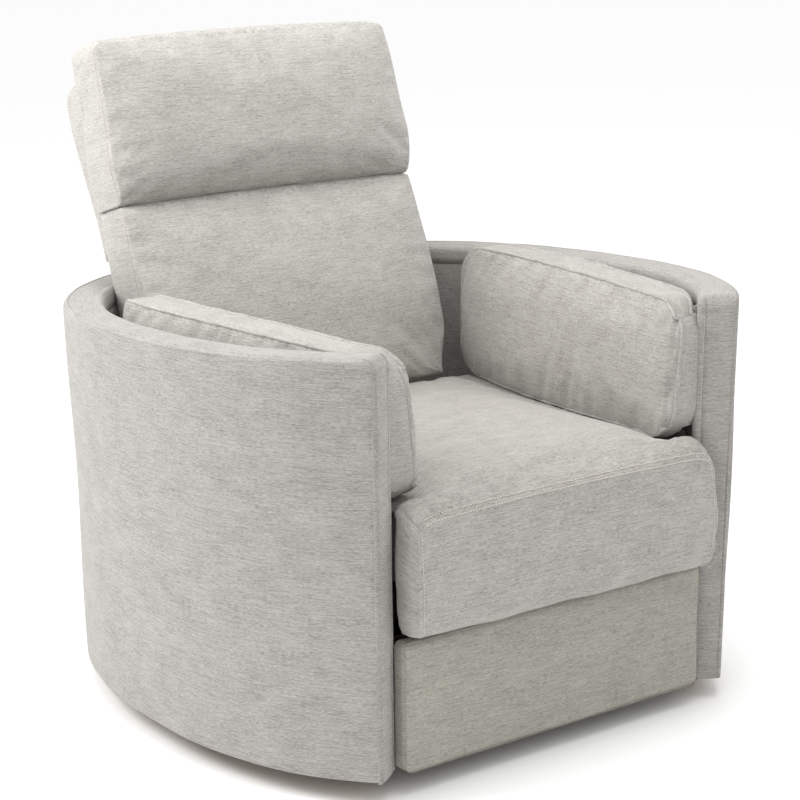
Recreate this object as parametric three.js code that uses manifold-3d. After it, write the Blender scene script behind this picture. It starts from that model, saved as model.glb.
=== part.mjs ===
// Swivel glider recliner with a round barrel shell, a reclining back and a folding footrest.
// Millimetres. The chair faces -Y, +X is the sitter's left, +Z is up, and the origin is on the floor
// on the swivel axis.
import * as THREE from 'three';
import { mergeVertices } from 'three/addons/utils/BufferGeometryUtils.js';
import Module from 'manifold-3d';

const wasm = await Module();
wasm.setup();

// ---- driving dimensions ---------------------------------------------------------------------------------

const GAP = 0.3;                 // clearance between pieces that touch
const RUNNING = 0.6;             // clearance between pieces that slide or turn on each other
const LAP = 1;                   // clearance between curved pieces that lie against each other
const degrees = Math.PI / 180;

// Barrel shell: the plan is a superellipse, deeper behind the swivel axis than in front of it.
const BARREL_INSIDE_HALF_WIDTH = 401;   // of the inner face, at the floor
const BARREL_INSIDE_FRONT = 447;
const BARREL_INSIDE_REAR = 481;
const WALL = 62;
const BARREL_HALF_WIDTH = BARREL_INSIDE_HALF_WIDTH + WALL;
const BARREL_FRONT_REACH = BARREL_INSIDE_FRONT + WALL;
const BARREL_REAR_REACH = BARREL_INSIDE_REAR + WALL;
const PLAN_POWER = 2.26;
const ARM_END_ANGLE = 47.9 * degrees;
const BARREL_FLARE = 13;         // how far the wall leans out from floor to rim
const END_SHEAR = 2 * degrees;   // how far the inner edge of each arm front runs ahead of a square end
const SHEAR_FADE = 40 * degrees;
const WALL_BOTTOM = 31;
const OUTER_PAD = 14;
const INNER_PAD = 10;
const FRAME_BOARD = 22;          // width of the plywood rings inside the wall
const FRAME_THICKNESS = 18;
const ARM_CAP = 16;
const RIM_FRONT = 638;           // rim height at the arm fronts
const RIM_REAR = 609;            // rim height beside the back
const RIM_REAR_Y = 430;
const RIM_ROLL = 40;
const RIM_ROUND = 20;

// Floor base and swivel bearing.
const BASE_RADIUS = 290;
const BASE_RING_WIDTH = 28;
const BASE_HEIGHT = 28;
const BASE_ARM_WIDTH = 56;
const BASE_ARM_HEIGHT = 18;
const HUB_RADIUS = 90;
const RACE_HEIGHT = 14;          // both races and the balls between them
const SWIVEL_PLATE_RADIUS = 85;
const SWIVEL_PLATE_THICKNESS = 7;
const BOLT_RADIUS = 10;

// Glider: four links hang from the cradle and carry the carriage on their lower ends.
const LINK_SPREAD = 150;         // half the distance between the front and the rear links
const LINK_LENGTH = 120;
const LINK_TOP = 205;
const LINK_WIDTH = 26;
const PLATE = 6;                 // thickness of every steel plate
const STUD_RADIUS = 6;
const CRADLE_HALF_WIDTH = 186;
const CRADLE_TUBE = 30;
const CRADLE_TUBE_HEIGHT = 25;
const CRADLE_TUBE_Y = 50;

// Carriage rails and arms.
const RAIL_BOTTOM = 226;
const RAIL_HEIGHT = 24;
const RAIL_WIDTH = 40;
const FRONT_RAIL_Y = -35;
const REAR_RAIL_Y = 175;
const SIDE_PANEL_INSIDE = 268;
const SIDE_PANEL = 10;
const DECK_TOP = 403;
const DECK = 17;
const ARM_BOX_FRONT = -345;
const ARM_BOX_REAR = 225;

// Arm pillows.
const PILLOW_BOTTOM = 412;
const PILLOW_HEIGHT = 212;
const PILLOW_THICKNESS = 92;
const PILLOW_FRONT = -366;
const PILLOW_REAR = 236;
const PILLOW_INSIDE_FRONT = 238;
const PILLOW_INSIDE_REAR = 296;

// Seat.
const SEAT_HALF_WIDTH = 262;
const LIP_HALF_WIDTH = 288;
const LIP_BOTTOM = 236;
const LIP_TOP = 396;
const SEAT_FRONT = -418;
const SEAT_REAR = 226;
const SEAT_CROWN = 444;          // top of the seat near its front
const SEAT_REAR_TOP = 402;
const SEAT_FRAME_HALF_WIDTH = 246;
const SEAT_FRAME_BOTTOM = 262;
const SEAT_FRAME_HEIGHT = 38;
const SEAT_FRAME_RAIL = 24;
const SEAT_FRAME_FRONT = -370;
const SEAT_FRAME_REAR = 222;
const SPRING_WIRE = 5;
const RUNNER_HEIGHT = 24;
const RUNNER_THICKNESS = 8;

// Recline pivot, in chair axes.
const RECLINE_Y = 255;
const RECLINE_Z = 368;

// Back, in its own leaning frame: y is depth behind the front seam, z runs down from the top edge.
const BACK_LEAN = 16.55 * degrees;
const BACK_SEAM_Y = 241.1;       // where the plane of the front seams passes the height of the recline pivot
const BACK_TOP_Z = 997;
const BACK_TOP_Y = BACK_SEAM_Y + (BACK_TOP_Z - RECLINE_Z) * Math.tan(BACK_LEAN);
const downFromTop = (z) => (z - BACK_TOP_Z) / Math.cos(BACK_LEAN);
const HEADREST_HALF_WIDTH = 286;
const HEADREST_HEIGHT = 265;
const HEADREST_DEPTH = 62;
const CROWN = 30;                // how far the cushions stand in front of their seams
const LUMBAR_TOP_HALF_WIDTH = 284;
const LUMBAR_HALF_WIDTH = 276;
const LUMBAR_BOTTOM_Z = 402.7;
const LUMBAR_BOTTOM = downFromTop(LUMBAR_BOTTOM_Z);
const LUMBAR_FOOT_Z = 442.9;
const LUMBAR_FOOT = downFromTop(LUMBAR_FOOT_Z);   // below this the cushion narrows to pass between the arm boxes
const LUMBAR_FOOT_HALF_WIDTH = 258;
const LUMBAR_DEPTH = 40;
const BACK_FRAME_DEPTH = 22;
const STILE_OUTSIDE = 235;
const STILE_WIDTH = 24;
const OUTER_BACK_TOP = -48;
const OUTER_BACK_HALF_WIDTH = 284;
const OUTER_BACK_RIM_HALF_WIDTH = 266;
const OUTER_BACK_RIM_Z = 665.3;  // the panel narrows here to pass inside the rim of the barrel
const OUTER_BACK_RIM = downFromTop(OUTER_BACK_RIM_Z);
const OUTER_BACK_LOW_HALF_WIDTH = 148;
const OUTER_BACK_BOTTOM_Z = 393.1;
const OUTER_BACK_BOTTOM = downFromTop(OUTER_BACK_BOTTOM_Z);
const OUTER_BACK_DEPTH = 38;

// Footrest, closed.
const PANEL_HALF_WIDTH = 283;
const PANEL_BOTTOM = 30;
const PANEL_TOP = 222;
const PANEL_FRONT = -386;
const PANEL_BACK = -357;
const BOARD = 13;
const BOARD_HALF_WIDTH = 266;
const FOOT_PIVOT_Y = -235;
const FOOT_PIVOT_Z = 218;
const FIRST_ARM = 175;
const FIRST_ARM_ANGLE = -115 * degrees;
const PANEL_PIVOT_Y = -335;
const PANEL_PIVOT_Z = 150;
const FOOT_LINK_WIDTH = 22;
const TORQUE_TUBE_RADIUS = 8;
const FOOT_BRACKET_OUTSIDE = 234;

// Release pull at the sitter's right.
const PULL_Y = 32;
const PULL_WIDTH = 44;
const PULL_THICKNESS = 4;
const PULL_RISE = 30;

// ---- making solids --------------------------------------------------------------------------------------

// A geometry becomes a solid once its vertices are merged by position alone.
function solid(geometry) {
  const bare = geometry.index ? geometry.toNonIndexed() : geometry.clone();
  bare.deleteAttribute('normal');
  bare.deleteAttribute('uv');
  const merged = mergeVertices(bare, 1e-4);
  return new wasm.Manifold(new wasm.Mesh({
    numProp: 3,
    vertProperties: new Float32Array(merged.attributes.position.array),
    triVerts: new Uint32Array(merged.index.array),
  }));
}

function geometryOf(manifold) {
  const { vertProperties, triVerts } = manifold.getMesh();
  const geometry = new THREE.BufferGeometry();
  geometry.setAttribute('position', new THREE.BufferAttribute(new Float32Array(vertProperties), 3));
  geometry.setIndex(new THREE.BufferAttribute(new Uint32Array(triVerts), 1));
  geometry.computeVertexNormals();
  return geometry;
}

const joined = (...geometries) => geometryOf(geometries.map(solid).reduce((a, b) => a.add(b)));
const cut = (geometry, ...tools) => geometryOf(tools.map(solid).reduce((a, b) => a.subtract(b), solid(geometry)));

function box(x0, x1, y0, y1, z0, z1) {
  return new THREE.BoxGeometry(x1 - x0, y1 - y0, z1 - z0).translate((x0 + x1) / 2, (y0 + y1) / 2, (z0 + z1) / 2);
}

function shapeOf(points, holes = []) {
  const shape = new THREE.Shape(points.map(([a, b]) => new THREE.Vector2(a, b)));
  for (const [a, b, radius] of holes) shape.holes.push(new THREE.Path().absarc(a, b, radius, 0, 2 * Math.PI, true));
  return shape;
}

// A flat plate across X: its outline is given in (y, z), and it fills x0 to x1.
const ACROSS_X = new THREE.Matrix4().makeBasis(
  new THREE.Vector3(0, 1, 0), new THREE.Vector3(0, 0, 1), new THREE.Vector3(1, 0, 0));
function sidePlate(points, x0, x1, holes = []) {
  return new THREE.ExtrudeGeometry(shapeOf(points, holes), { depth: x1 - x0, bevelEnabled: false, curveSegments: 8 })
    .applyMatrix4(ACROSS_X).translate(x0, 0, 0);
}

// A flat board: its outline is given in (x, y), and it fills z0 to z1.
function board(points, z0, z1, holes = []) {
  return new THREE.ExtrudeGeometry(shapeOf(points, holes), { depth: z1 - z0, bevelEnabled: false, curveSegments: 8 })
    .translate(0, 0, z0);
}

function roundBar(radius, x0, x1, y, z, sides = 16) {
  return new THREE.CylinderGeometry(radius, radius, x1 - x0, sides).rotateZ(Math.PI / 2).translate((x0 + x1) / 2, y, z);
}

function disc(radius, z0, z1, sides = 48) {
  return new THREE.CylinderGeometry(radius, radius, z1 - z0, sides).rotateX(Math.PI / 2).translate(0, 0, (z0 + z1) / 2);
}

const mirrored = (points) => points.map(([a, b]) => [-a, b]).reverse();

// ---- barrel plan ----------------------------------------------------------------------------------------

const START = -ARM_END_ANGLE;
const END = Math.PI + ARM_END_ANGLE;

function smooth(value, low, high) {
  const t = Math.min(1, Math.max(0, (value - low) / (high - low)));
  return t * t * (3 - 2 * t);
}

// A point of the wall: along is the angle round the plan, from the front left end over the side and the
// rear, inset is the distance inwards from the outer face, and the wall leans out with height. Near the
// ends the inner side runs ahead, so that the arm fronts face more nearly forwards.
function wallPoint(along, inset, z) {
  const fromEnd = Math.min(along - START, END - along);
  const shear = END_SHEAR * (inset / WALL) * (1 - smooth(fromEnd, 0, SHEAR_FADE));
  const angle = along + (along < Math.PI / 2 ? -shear : shear);
  const c = Math.cos(angle);
  const s = Math.sin(angle);
  const reach = s < 0 ? BARREL_FRONT_REACH : BARREL_REAR_REACH;
  const x = BARREL_HALF_WIDTH * Math.sign(c) * Math.abs(c) ** (2 / PLAN_POWER);
  const y = reach * Math.sign(s) * Math.abs(s) ** (2 / PLAN_POWER);
  const nx = Math.sign(x) * Math.abs(x / BARREL_HALF_WIDTH) ** (PLAN_POWER - 1) / BARREL_HALF_WIDTH;
  const ny = Math.sign(y) * Math.abs(y / reach) ** (PLAN_POWER - 1) / reach;
  const length = Math.hypot(nx, ny);
  const out = BARREL_FLARE * (z - WALL_BOTTOM) / (RIM_FRONT - WALL_BOTTOM) - inset;
  return [x + out * nx / length, y + out * ny / length, z];
}

// The angle reached after a distance along the outer face from the front left end.
function angleAfter(distance) {
  const STEP = 0.002;
  let angle = START;
  let travelled = 0;
  let [x, y] = wallPoint(angle, 0, WALL_BOTTOM);
  while (travelled < distance) {
    angle += STEP;
    const [nextX, nextY] = wallPoint(angle, 0, WALL_BOTTOM);
    const step = Math.hypot(nextX - x, nextY - y);
    travelled += step;
    if (travelled >= distance) angle -= STEP * (travelled - distance) / step;
    [x, y] = [nextX, nextY];
  }
  return angle;
}

// Rim height: it falls evenly towards the rear.
function rimHeight(angle) {
  const [, y] = wallPoint(angle, 0, WALL_BOTTOM);
  const [, frontY] = wallPoint(START, 0, WALL_BOTTOM);
  return RIM_FRONT - (RIM_FRONT - RIM_REAR) * (y - frontY) / (RIM_REAR_Y - frontY);
}

// Angles from one end to the other, with the stops between them shared by every piece of the wall.
const WALL_STEP = 4 * degrees;
function wallStops(from, to) {
  const stops = [from];
  for (let stop = Math.ceil(from / WALL_STEP + 0.1); stop * WALL_STEP < to - 0.1 * WALL_STEP; stop += 1) {
    stops.push(stop * WALL_STEP);
  }
  return [...stops, to];
}

// A solid that follows the wall: section(angle) lists its corners as [inset, z], outer bottom corner first
// and then upwards, over and down the inner face.
function alongWall(section, from, to) {
  const rings = wallStops(from, to).map((angle) => (
    section(angle).map(([inset, z]) => wallPoint(angle, inset, z))));
  const steps = rings.length - 1;
  const count = rings[0].length;
  const index = [];
  for (let i = 0; i < steps; i += 1) {
    for (let k = 0; k < count; k += 1) {
      const a = i * count + k;
      const b = i * count + (k + 1) % count;
      index.push(a, a + count, b, b, a + count, b + count);
    }
  }
  const last = steps * count;
  const outline = rings[0].map((point, k) => new THREE.Vector2(...section(from)[k]));
  for (const [a, b, c] of THREE.ShapeUtils.triangulateShape(outline, [])) {
    index.push(a, c, b, last + a, last + b, last + c);
  }
  const geometry = new THREE.BufferGeometry();
  geometry.setAttribute('position', new THREE.Float32BufferAttribute(rings.flat(2), 3));
  geometry.setIndex(index);
  const volume = solid(geometry);
  return volume.volume() > 0 ? geometryOf(volume) : geometryOf(solid(turnedInsideOut(geometry)));
}

function turnedInsideOut(geometry) {
  const index = Array.from(geometry.index.array);
  for (let i = 0; i < index.length; i += 3) [index[i], index[i + 1]] = [index[i + 1], index[i]];
  geometry.setIndex(index);
  return geometry;
}

// Half-width of the barrel at a depth y and an inset from the outer face.
function wallX(y, inset, z = WALL_BOTTOM) {
  let low = START;
  let high = Math.PI / 2;
  for (let i = 0; i < 40; i += 1) {
    const middle = (low + high) / 2;
    if (wallPoint(middle, inset, z)[1] < y) low = middle;
    else high = middle;
  }
  return wallPoint(low, inset, z)[0];
}

// ---- the chair ------------------------------------------------------------------------------------------

const chair = new THREE.Group();

const MATERIALS = {
  fabric: new THREE.MeshStandardMaterial({ color: 0xb9b5ae, roughness: 0.95, metalness: 0 }),
  wood: new THREE.MeshStandardMaterial({ color: 0xc9a877, roughness: 0.7, metalness: 0 }),
  steel: new THREE.MeshStandardMaterial({ color: 0x2c2d2f, roughness: 0.45, metalness: 0.7 }),
  wire: new THREE.MeshStandardMaterial({ color: 0x8c8f92, roughness: 0.35, metalness: 0.9 }),
  plastic: new THREE.MeshStandardMaterial({ color: 0x2f3133, roughness: 0.5, metalness: 0 }),
};

function add(name, material, geometry, parent = chair) {
  const mesh = new THREE.Mesh(geometry, MATERIALS[material]);
  mesh.name = name;
  parent.add(mesh);
}

// Adds a piece on both sides: make(side) gives the geometry with side +1 on the sitter's left, -1 on the right.
function addPair(name, material, make, parent = chair) {
  for (const [side, suffix] of [[1, 'left'], [-1, 'right']]) add(`${name}_${suffix}`, material, make(side), parent);
}

// Extents along X of a piece that lies between two distances from the centre, on the given side.
const between = (side, inner, outer) => (side > 0 ? [inner, outer] : [-outer, -inner]);

// Floor base: a ring on a cross of flat bars, with a hub in the middle.
const baseRing = cut(disc(BASE_RADIUS, 0, BASE_HEIGHT, 64), disc(BASE_RADIUS - BASE_RING_WIDTH, -1, BASE_HEIGHT + 1, 64));
const crossReach = BASE_RADIUS - BASE_RING_WIDTH / 2;
const crossHalf = BASE_ARM_WIDTH / 2;
add('floor_base', 'steel', joined(
  baseRing,
  disc(HUB_RADIUS, 0, BASE_HEIGHT),
  box(-crossReach, crossReach, -crossHalf, crossHalf, 0, BASE_ARM_HEIGHT),
  box(-crossHalf, crossHalf, -crossReach, crossReach, 0, BASE_ARM_HEIGHT)));

const raceBottom = BASE_HEIGHT + GAP;
const raceTop = raceBottom + RACE_HEIGHT;
const RACE_OUTSIDE = 80;
const RACE_INSIDE = 50;
add('bearing_race', 'steel', cut(disc(RACE_OUTSIDE, raceBottom, raceTop), disc(RACE_INSIDE, 0, raceTop + 1)));
const plateBottom = raceTop + RUNNING;
const plateTop = plateBottom + SWIVEL_PLATE_THICKNESS;
add('swivel_plate', 'steel', cut(
  disc(SWIVEL_PLATE_RADIUS, plateBottom, plateTop), disc(BOLT_RADIUS + RUNNING, 0, plateTop + 1, 24)));
const BOLT_HEAD = 8;
add('centre_bolt', 'wire', joined(
  disc(BOLT_RADIUS, raceBottom, plateTop + RUNNING + BOLT_HEAD, 24),
  disc(BOLT_RADIUS + 8, plateTop + RUNNING, plateTop + RUNNING + BOLT_HEAD, 6)));

// Cradle: two side plates with an ear over each link, on two cross tubes.
const cradleBottom = plateTop + GAP;
const cradleSillTop = cradleBottom + 45;
const earTop = LINK_TOP + 10;
const cradleOutline = [
  [-LINK_SPREAD - 22, cradleBottom], [LINK_SPREAD + 22, cradleBottom],
  [LINK_SPREAD + 14, earTop], [LINK_SPREAD - 14, earTop], [LINK_SPREAD - 40, cradleSillTop],
  [40 - LINK_SPREAD, cradleSillTop], [14 - LINK_SPREAD, earTop], [-LINK_SPREAD - 14, earTop]];
const upperHoles = [[-LINK_SPREAD, LINK_TOP, STUD_RADIUS + RUNNING], [LINK_SPREAD, LINK_TOP, STUD_RADIUS + RUNNING]];
addPair('cradle_side', 'steel', (side) => sidePlate(
  cradleOutline, ...between(side, CRADLE_HALF_WIDTH - PLATE, CRADLE_HALF_WIDTH), upperHoles));
for (const [place, y] of [['front', -CRADLE_TUBE_Y], ['rear', CRADLE_TUBE_Y]]) {
  const reach = CRADLE_HALF_WIDTH - PLATE - GAP;
  add(`cradle_tube_${place}`, 'steel', box(
    -reach, reach, y - CRADLE_TUBE / 2, y + CRADLE_TUBE / 2, cradleBottom, cradleBottom + CRADLE_TUBE_HEIGHT));
}

// Glider links: a flat bar with a stud inwards into the cradle at its top and one outwards at its bottom.
const linkInside = CRADLE_HALF_WIDTH + RUNNING;
const linkOutside = linkInside + PLATE;
const linkBottom = LINK_TOP - LINK_LENGTH;
const STUD_REACH = PLATE + 2;
for (const [place, y] of [['front', -LINK_SPREAD], ['rear', LINK_SPREAD]]) {
  const half = LINK_WIDTH / 2;
  const bar = [
    [y - half, linkBottom - 8], [y - 6, linkBottom - half], [y + 6, linkBottom - half], [y + half, linkBottom - 8],
    [y + half, LINK_TOP + 8], [y + 6, LINK_TOP + half], [y - 6, LINK_TOP + half], [y - half, LINK_TOP + 8]];
  addPair(`glider_link_${place}`, 'steel', (side) => joined(
    sidePlate(bar, ...between(side, linkInside, linkOutside)),
    roundBar(STUD_RADIUS, ...between(side, linkInside - STUD_REACH, linkInside + 1), y, LINK_TOP),
    roundBar(STUD_RADIUS, ...between(side, linkOutside - 1, linkOutside + STUD_REACH), y, linkBottom)));
}

// Hanger plates: the carriage stands on the lower ends of the links.
const hangerInside = linkOutside + RUNNING;
const hangerOutside = hangerInside + PLATE;
const hangerTop = RAIL_BOTTOM - GAP;
const hangerOutline = [
  [-LINK_SPREAD - 16, linkBottom - 14], [LINK_SPREAD + 16, linkBottom - 14], [REAR_RAIL_Y + RAIL_WIDTH / 2, hangerTop],
  [REAR_RAIL_Y - RAIL_WIDTH / 2, hangerTop], [LINK_SPREAD - 26, linkBottom + 20],
  [FRONT_RAIL_Y + RAIL_WIDTH, linkBottom + 20], [FRONT_RAIL_Y + RAIL_WIDTH / 2, hangerTop],
  [FRONT_RAIL_Y - RAIL_WIDTH / 2, hangerTop], [FRONT_RAIL_Y - RAIL_WIDTH, linkBottom + 20],
  [-LINK_SPREAD - 16, linkBottom + 16]];
const lowerHoles = [[-LINK_SPREAD, linkBottom, STUD_RADIUS + RUNNING], [LINK_SPREAD, linkBottom, STUD_RADIUS + RUNNING]];
addPair('hanger_plate', 'steel', (side) => sidePlate(
  hangerOutline, ...between(side, hangerInside, hangerOutside), lowerHoles));

// Cross rails reach from the hanger plates out to the plywood ring in the wall.
const ringInset = OUTER_PAD + LAP;
const ringInside = ringInset + FRAME_BOARD;
const railTop = RAIL_BOTTOM + RAIL_HEIGHT;
for (const [place, y] of [['front', FRONT_RAIL_Y], ['rear', REAR_RAIL_Y]]) {
  const reach = Math.min(
    wallX(y - RAIL_WIDTH / 2, ringInside + LAP, RAIL_BOTTOM), wallX(y + RAIL_WIDTH / 2, ringInside + LAP, RAIL_BOTTOM));
  add(`cross_rail_${place}`, 'wood', box(-reach, reach, y - RAIL_WIDTH / 2, y + RAIL_WIDTH / 2, RAIL_BOTTOM, railTop));
}

// Barrel frame: three plywood rings with posts lapped on their inner edges.
const wallStart = angleAfter(ARM_CAP + LAP);
const wallEnd = Math.PI - wallStart;
const ringSection = (bottom) => (angle) => [
  [ringInset, bottom(angle)], [ringInset, bottom(angle) + FRAME_THICKNESS],
  [ringInside, bottom(angle) + FRAME_THICKNESS], [ringInside, bottom(angle)]];
const topRingBottom = (angle) => rimHeight(angle) - RIM_ROLL - FRAME_THICKNESS - 2;
add('frame_ring_bottom', 'wood', alongWall(ringSection(() => WALL_BOTTOM + 9), wallStart, wallEnd));
add('frame_ring_seat', 'wood', alongWall(ringSection(() => RAIL_BOTTOM + 2), wallStart, wallEnd));
add('frame_ring_top', 'wood', alongWall(ringSection(topRingBottom), wallStart, wallEnd));
const postInside = WALL - INNER_PAD - LAP;
const POST_WIDTH = 6 * degrees;
const postOutside = ringInside + LAP;
const postSection = (angle) => [
  [postOutside, WALL_BOTTOM + 9], [postOutside, rimHeight(angle) - RIM_ROLL - 2],
  [postInside, rimHeight(angle) - RIM_ROLL - 2], [postInside, WALL_BOTTOM + 9]];
const POST_PLACES = { front_left: -40, rear_left: 62, rear_right: 118, front_right: 220 };
for (const [place, middle] of Object.entries(POST_PLACES)) {
  const angle = middle * degrees;
  add(`frame_post_${place}`, 'wood', alongWall(postSection, angle - POST_WIDTH / 2, angle + POST_WIDTH / 2));
}

// Padded covers of the wall: outer panel, inner lining, rolled rim, and a cap on each arm front.
const coverTop = (angle) => rimHeight(angle) - RIM_ROLL;
const INNER_COVER_BOTTOM = railTop + 2;
add('barrel_outer_cover', 'fabric', alongWall((angle) => [
  [0, WALL_BOTTOM], [0, coverTop(angle)], [OUTER_PAD, coverTop(angle)], [OUTER_PAD, WALL_BOTTOM]],
wallStart, wallEnd));
add('barrel_inner_cover', 'fabric', alongWall((angle) => [
  [WALL - INNER_PAD, INNER_COVER_BOTTOM], [WALL - INNER_PAD, coverTop(angle)],
  [WALL, coverTop(angle)], [WALL, INNER_COVER_BOTTOM]],
wallStart, wallEnd));
// Rounded top from the outer face to the inner face, at the given rim height.
function roundedTop(rim) {
  const points = [];
  for (const turn of [0, 30, 60, 90]) {
    const a = turn * degrees;
    points.push([RIM_ROUND * (1 - Math.cos(a)), rim - RIM_ROUND * (1 - Math.sin(a))]);
  }
  return [...points, ...points.map(([inset, z]) => [WALL - inset, z]).reverse()];
}
add('rim_roll', 'fabric', alongWall((angle) => [
  [0, coverTop(angle) + LAP], ...roundedTop(rimHeight(angle)), [WALL, coverTop(angle) + LAP]],
wallStart, wallEnd));
const capEnd = angleAfter(ARM_CAP);
const capSection = (angle) => [[0, WALL_BOTTOM], ...roundedTop(rimHeight(angle)), [WALL, WALL_BOTTOM]];
add('arm_front_left', 'fabric', alongWall(capSection, START, capEnd));
add('arm_front_right', 'fabric', alongWall(capSection, Math.PI - capEnd, END));

// Arm boxes: an inner side panel on the cross rails, and a deck from it to the wall.
addPair('inner_side_panel', 'fabric', (side) => {
  const [x0, x1] = between(side, SIDE_PANEL_INSIDE, SIDE_PANEL_INSIDE + SIDE_PANEL);
  return box(x0, x1, ARM_BOX_FRONT, ARM_BOX_REAR, railTop + GAP, DECK_TOP);
});
const deckInside = SIDE_PANEL_INSIDE + SIDE_PANEL + GAP;
const DECK_STEPS = 12;
const wallSide = [];
for (let i = 0; i <= DECK_STEPS; i += 1) {
  const y = ARM_BOX_FRONT + (ARM_BOX_REAR - ARM_BOX_FRONT) * i / DECK_STEPS;
  wallSide.push([wallX(y, WALL + 2 * LAP, DECK_TOP - DECK), y]);
}
const deckOutline = [[deckInside, ARM_BOX_FRONT], ...wallSide, [deckInside, ARM_BOX_REAR]];
addPair('arm_deck', 'fabric', (side) => board(side > 0 ? deckOutline : mirrored(deckOutline), DECK_TOP - DECK, DECK_TOP));

// Arm pillows stand on the decks, against the wall.
const PILLOW_STEPS = 10;
const PILLOW_WALL_GAP = 6;
const pillowInside = (y) => PILLOW_INSIDE_FRONT
  + (PILLOW_INSIDE_REAR - PILLOW_INSIDE_FRONT) * (y - PILLOW_FRONT) / (PILLOW_REAR - PILLOW_FRONT);
const armTip = wallPoint(START, WALL, PILLOW_BOTTOM);
const pillowOutside = (y) => Math.min(
  pillowInside(y) + PILLOW_THICKNESS,
  (y < armTip[1] + 1 ? armTip[0] : wallX(y, WALL, PILLOW_BOTTOM)) - PILLOW_WALL_GAP);
const PILLOW_END = 14;           // how much thinner the pillow is at its rear end
function pillowPlan(inset) {
  const front = PILLOW_FRONT + inset;
  const rear = PILLOW_REAR - inset;
  const outer = [];
  for (let i = 0; i <= PILLOW_STEPS; i += 1) {
    const y = front + (rear - front) * i / PILLOW_STEPS;
    outer.push([pillowOutside(y) - inset - PILLOW_END * smooth(y, rear - 60, rear), y]);
  }
  return [[pillowInside(front) + inset, front], ...outer, [pillowInside(rear) + inset, rear]];
}
const PILLOW_BEVEL = 12;
addPair('arm_pillow', 'fabric', (side) => {
  const place = (points) => (side > 0 ? points : mirrored(points));
  return joined(
    board(place(pillowPlan(PILLOW_BEVEL)), PILLOW_BOTTOM, PILLOW_BOTTOM + PILLOW_HEIGHT),
    board(place(pillowPlan(0)), PILLOW_BOTTOM + PILLOW_BEVEL, PILLOW_BOTTOM + PILLOW_HEIGHT - PILLOW_BEVEL));
});

// Slide: a fixed rail on each side panel, and a runner on the seat frame.
const seatFrameTop = SEAT_FRAME_BOTTOM + SEAT_FRAME_HEIGHT;
const runnerBottom = SEAT_FRAME_BOTTOM + (SEAT_FRAME_HEIGHT - RUNNER_HEIGHT) / 2;
const runnerInside = SEAT_FRAME_HALF_WIDTH + GAP;
const runnerOutside = runnerInside + RUNNER_THICKNESS;
addPair('seat_runner', 'steel', (side) => box(
  ...between(side, runnerInside, runnerOutside), SEAT_FRAME_FRONT + 38, SEAT_FRAME_REAR, runnerBottom,
  runnerBottom + RUNNER_HEIGHT));
addPair('slide_rail', 'steel', (side) => box(
  ...between(side, runnerOutside + RUNNING, SIDE_PANEL_INSIDE - GAP), ARM_BOX_FRONT, ARM_BOX_REAR, runnerBottom,
  runnerBottom + RUNNER_HEIGHT));

// Seat frame of four rails, and the spring grid hooked between them.
const frameInside = SEAT_FRAME_HALF_WIDTH - SEAT_FRAME_RAIL;
add('seat_frame', 'wood', cut(
  box(-SEAT_FRAME_HALF_WIDTH, SEAT_FRAME_HALF_WIDTH, SEAT_FRAME_FRONT, SEAT_FRAME_REAR, SEAT_FRAME_BOTTOM, seatFrameTop),
  box(-frameInside, frameInside, SEAT_FRAME_FRONT + SEAT_FRAME_RAIL, SEAT_FRAME_REAR - SEAT_FRAME_RAIL,
    SEAT_FRAME_BOTTOM - 1, seatFrameTop + 1)));

// A wire grid in the plane of u and v: long wires along v, tied by cross wires along u.
function wireGrid(halfWidth, v0, v1, depth0, depth1, longWires, crossWires, place) {
  const pieces = [];
  for (let i = 0; i < longWires; i += 1) {
    const u = -halfWidth * 0.8 + 1.6 * halfWidth * i / (longWires - 1);
    pieces.push(place(u - SPRING_WIRE / 2, u + SPRING_WIRE / 2, v0, v1, depth0, depth1));
  }
  for (let i = 0; i < crossWires; i += 1) {
    const v = v0 + (v1 - v0) * (i + 1) / (crossWires + 1);
    pieces.push(place(-halfWidth, halfWidth, v - SPRING_WIRE / 2, v + SPRING_WIRE / 2, depth0, depth1));
  }
  return joined(...pieces);
}
add('seat_spring_grid', 'wire', wireGrid(
  frameInside - GAP, SEAT_FRAME_FRONT + SEAT_FRAME_RAIL + GAP, SEAT_FRAME_REAR - SEAT_FRAME_RAIL - GAP,
  seatFrameTop - 12, seatFrameTop - 12 + SPRING_WIRE, 5, 2, box));

// Seat cushion: crowned between the pillows, with a wider lip in front that hangs over the frame.
const cushionBottom = seatFrameTop + GAP;
const seatHalfOutline = [
  [SEAT_HALF_WIDTH, cushionBottom], [SEAT_HALF_WIDTH, 380], [SEAT_HALF_WIDTH - 14, 402],
  [SEAT_HALF_WIDTH - 42, SEAT_CROWN - 14], [SEAT_HALF_WIDTH - 100, SEAT_CROWN]];
const acrossY = new THREE.Matrix4().makeBasis(
  new THREE.Vector3(-1, 0, 0), new THREE.Vector3(0, 0, 1), new THREE.Vector3(0, 1, 0));
function frontPlate(points, y0, y1) {
  return new THREE.ExtrudeGeometry(shapeOf(points), { depth: y1 - y0, bevelEnabled: false })
    .applyMatrix4(acrossY).translate(0, y0, 0);
}
const LIP_REAR = -373;
const lipOutline = [
  [LIP_REAR, LIP_BOTTOM], [SEAT_FRONT + 24, LIP_BOTTOM], [SEAT_FRONT + 6, LIP_BOTTOM + 34], [SEAT_FRONT, LIP_BOTTOM + 84],
  [SEAT_FRONT + 4, LIP_TOP - 30], [SEAT_FRONT + 14, LIP_TOP - 8], [SEAT_FRONT + 30, LIP_TOP], [LIP_REAR, LIP_TOP]];
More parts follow.
